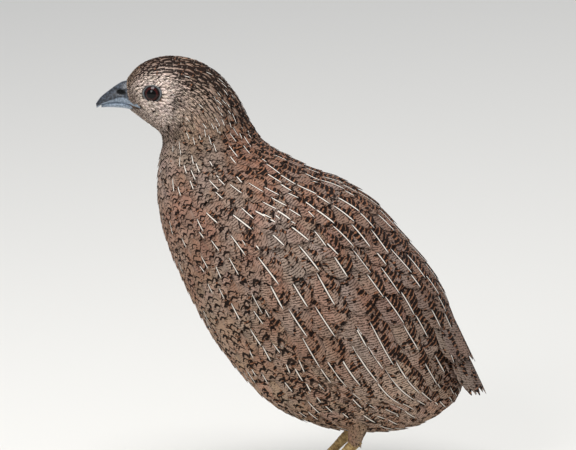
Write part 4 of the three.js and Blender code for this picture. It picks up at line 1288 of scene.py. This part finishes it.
leg_finish, shader = plain_material("scaled_leg_skin", "b3935a", 0.55)
wire = Wiring(leg_finish.node_tree)
place = wire.millimetres()
scales = wire.node("TexVoronoi", {"feature": "DISTANCE_TO_EDGE"}, Vector=place, Scale=1.3)
creases = wire.ramp(scales.outputs["Distance"], 0.1, 0.02)
seam, front, _ = wire.parts("plated")
seams = wire.math("MAXIMUM", wire.product(creases, wire.math("SUBTRACT", 1.0, front)), seam)
worn = wire.noise(place, 0.7, 3.0)
colour = wire.mix(wire.ramp(worn, 0.3, 0.7), "8f6f3c", "c4a56a")
wire.feed(shader["Base Color"], wire.mix(wire.product(seams, 0.75), colour, "4d3a22"))
wire.feed(shader["Roughness"], wire.line(worn, 0.25, 0.42))
wire.bump(shader, wire.line(seams, -1.0, wire.product(worn, 0.3)), 0.6, 0.00015)

claw_finish, shader = plain_material("claw_horn", "3d3028", 0.35)
wire = Wiring(claw_finish.node_tree)
streaks = wire.noise(wire.millimetres(), 2.2, 3.0)
wire.feed(shader["Base Color"], wire.mix(wire.ramp(streaks, 0.35, 0.7), "2b211b", "5d4b3b"))
wire.bump(shader, streaks, 0.3, 0.0001)


def seams_of(turns, shares, plates):
    """How near a seam between plates each point of a tube is, and whether plates cover it."""
    step = closed_ends(shares, TUBE_END)[0] * plates % 1
    front = ease(np.cos(turns), 0.0, 0.4)
    return np.column_stack([ease(np.abs(2 * step - 1), 0.75, 0.95) * front, front])


for sign, side_name in ((1, "left"), (-1, "right")):
    hock, sole = leg_place(sign, *HOCK), leg_place(sign, *SOLE)
    ahead = unit(leg_place(sign, 1, 0, 0) - leg_place(sign, 0, 0, 0))
    top = between(hock, sole, BARE_FROM)
    shank = np.array([top, between(top, sole, 0.5), sole - UP * 0.8])
    tube = tube_place(shank, shank_radius, ahead, SHANK_SCUTES, SHANK_PROUD)
    mesh, turns, shares = formed_mesh("shank_scutes_" + side_name, 32, 150, tube)
    give_colours(mesh, "plated", seams_of(turns, shares, SHANK_SCUTES))
    finished("shank_scutes_" + side_name, mesh, leg_finish, ("shank_" + side_name,))

    paths = [toe_path(sign, *toe) for toe in TOES.values()]
    shape = bmesh.new()
    seams = []
    for path, (_, _, root, _, tip, scutes) in zip(paths, TOES.values()):
        toe = tube_place(path, toe_radius(root, tip), UP, scutes, TOE_PROUD)
        turns, shares = formed(shape, 24, 90, toe)
        seams.append(seams_of(turns, shares, scutes))
    pad = ball_place(leg_place(sign, 0.5, 0, 1.6), PAD_RADII, np.eye(3))
    turns, _ = formed(shape, 32, 24, pad)
    seams.append(np.zeros((len(turns), 2)))
    mesh = smooth_mesh(shape, "toes_" + side_name)
    give_colours(mesh, "plated", np.concatenate(seams))
    finished("toes_" + side_name, mesh, leg_finish, ("foot_" + side_name,))

    shape = bmesh.new()
    for path in paths:
        end = path[3]
        way = unit((end - path[2]) * (1, 1, 0))
        reach = end + way * CLAW_LONG
        bend = end + way * CLAW_LONG * 0.5 + UP * 0.25
        claw = np.array([end - way * 0.8, bend, (reach[0], reach[1], CLAW_DROP)])
        formed(shape, 16, 24, tube_place(claw, claw_radius, UP))
    mesh = smooth_mesh(shape, "claws_" + side_name)
    claws = [f"claw_{side_name}_{toe}" for toe in TOES]
    finished("claws_" + side_name, mesh, claw_finish, claws)
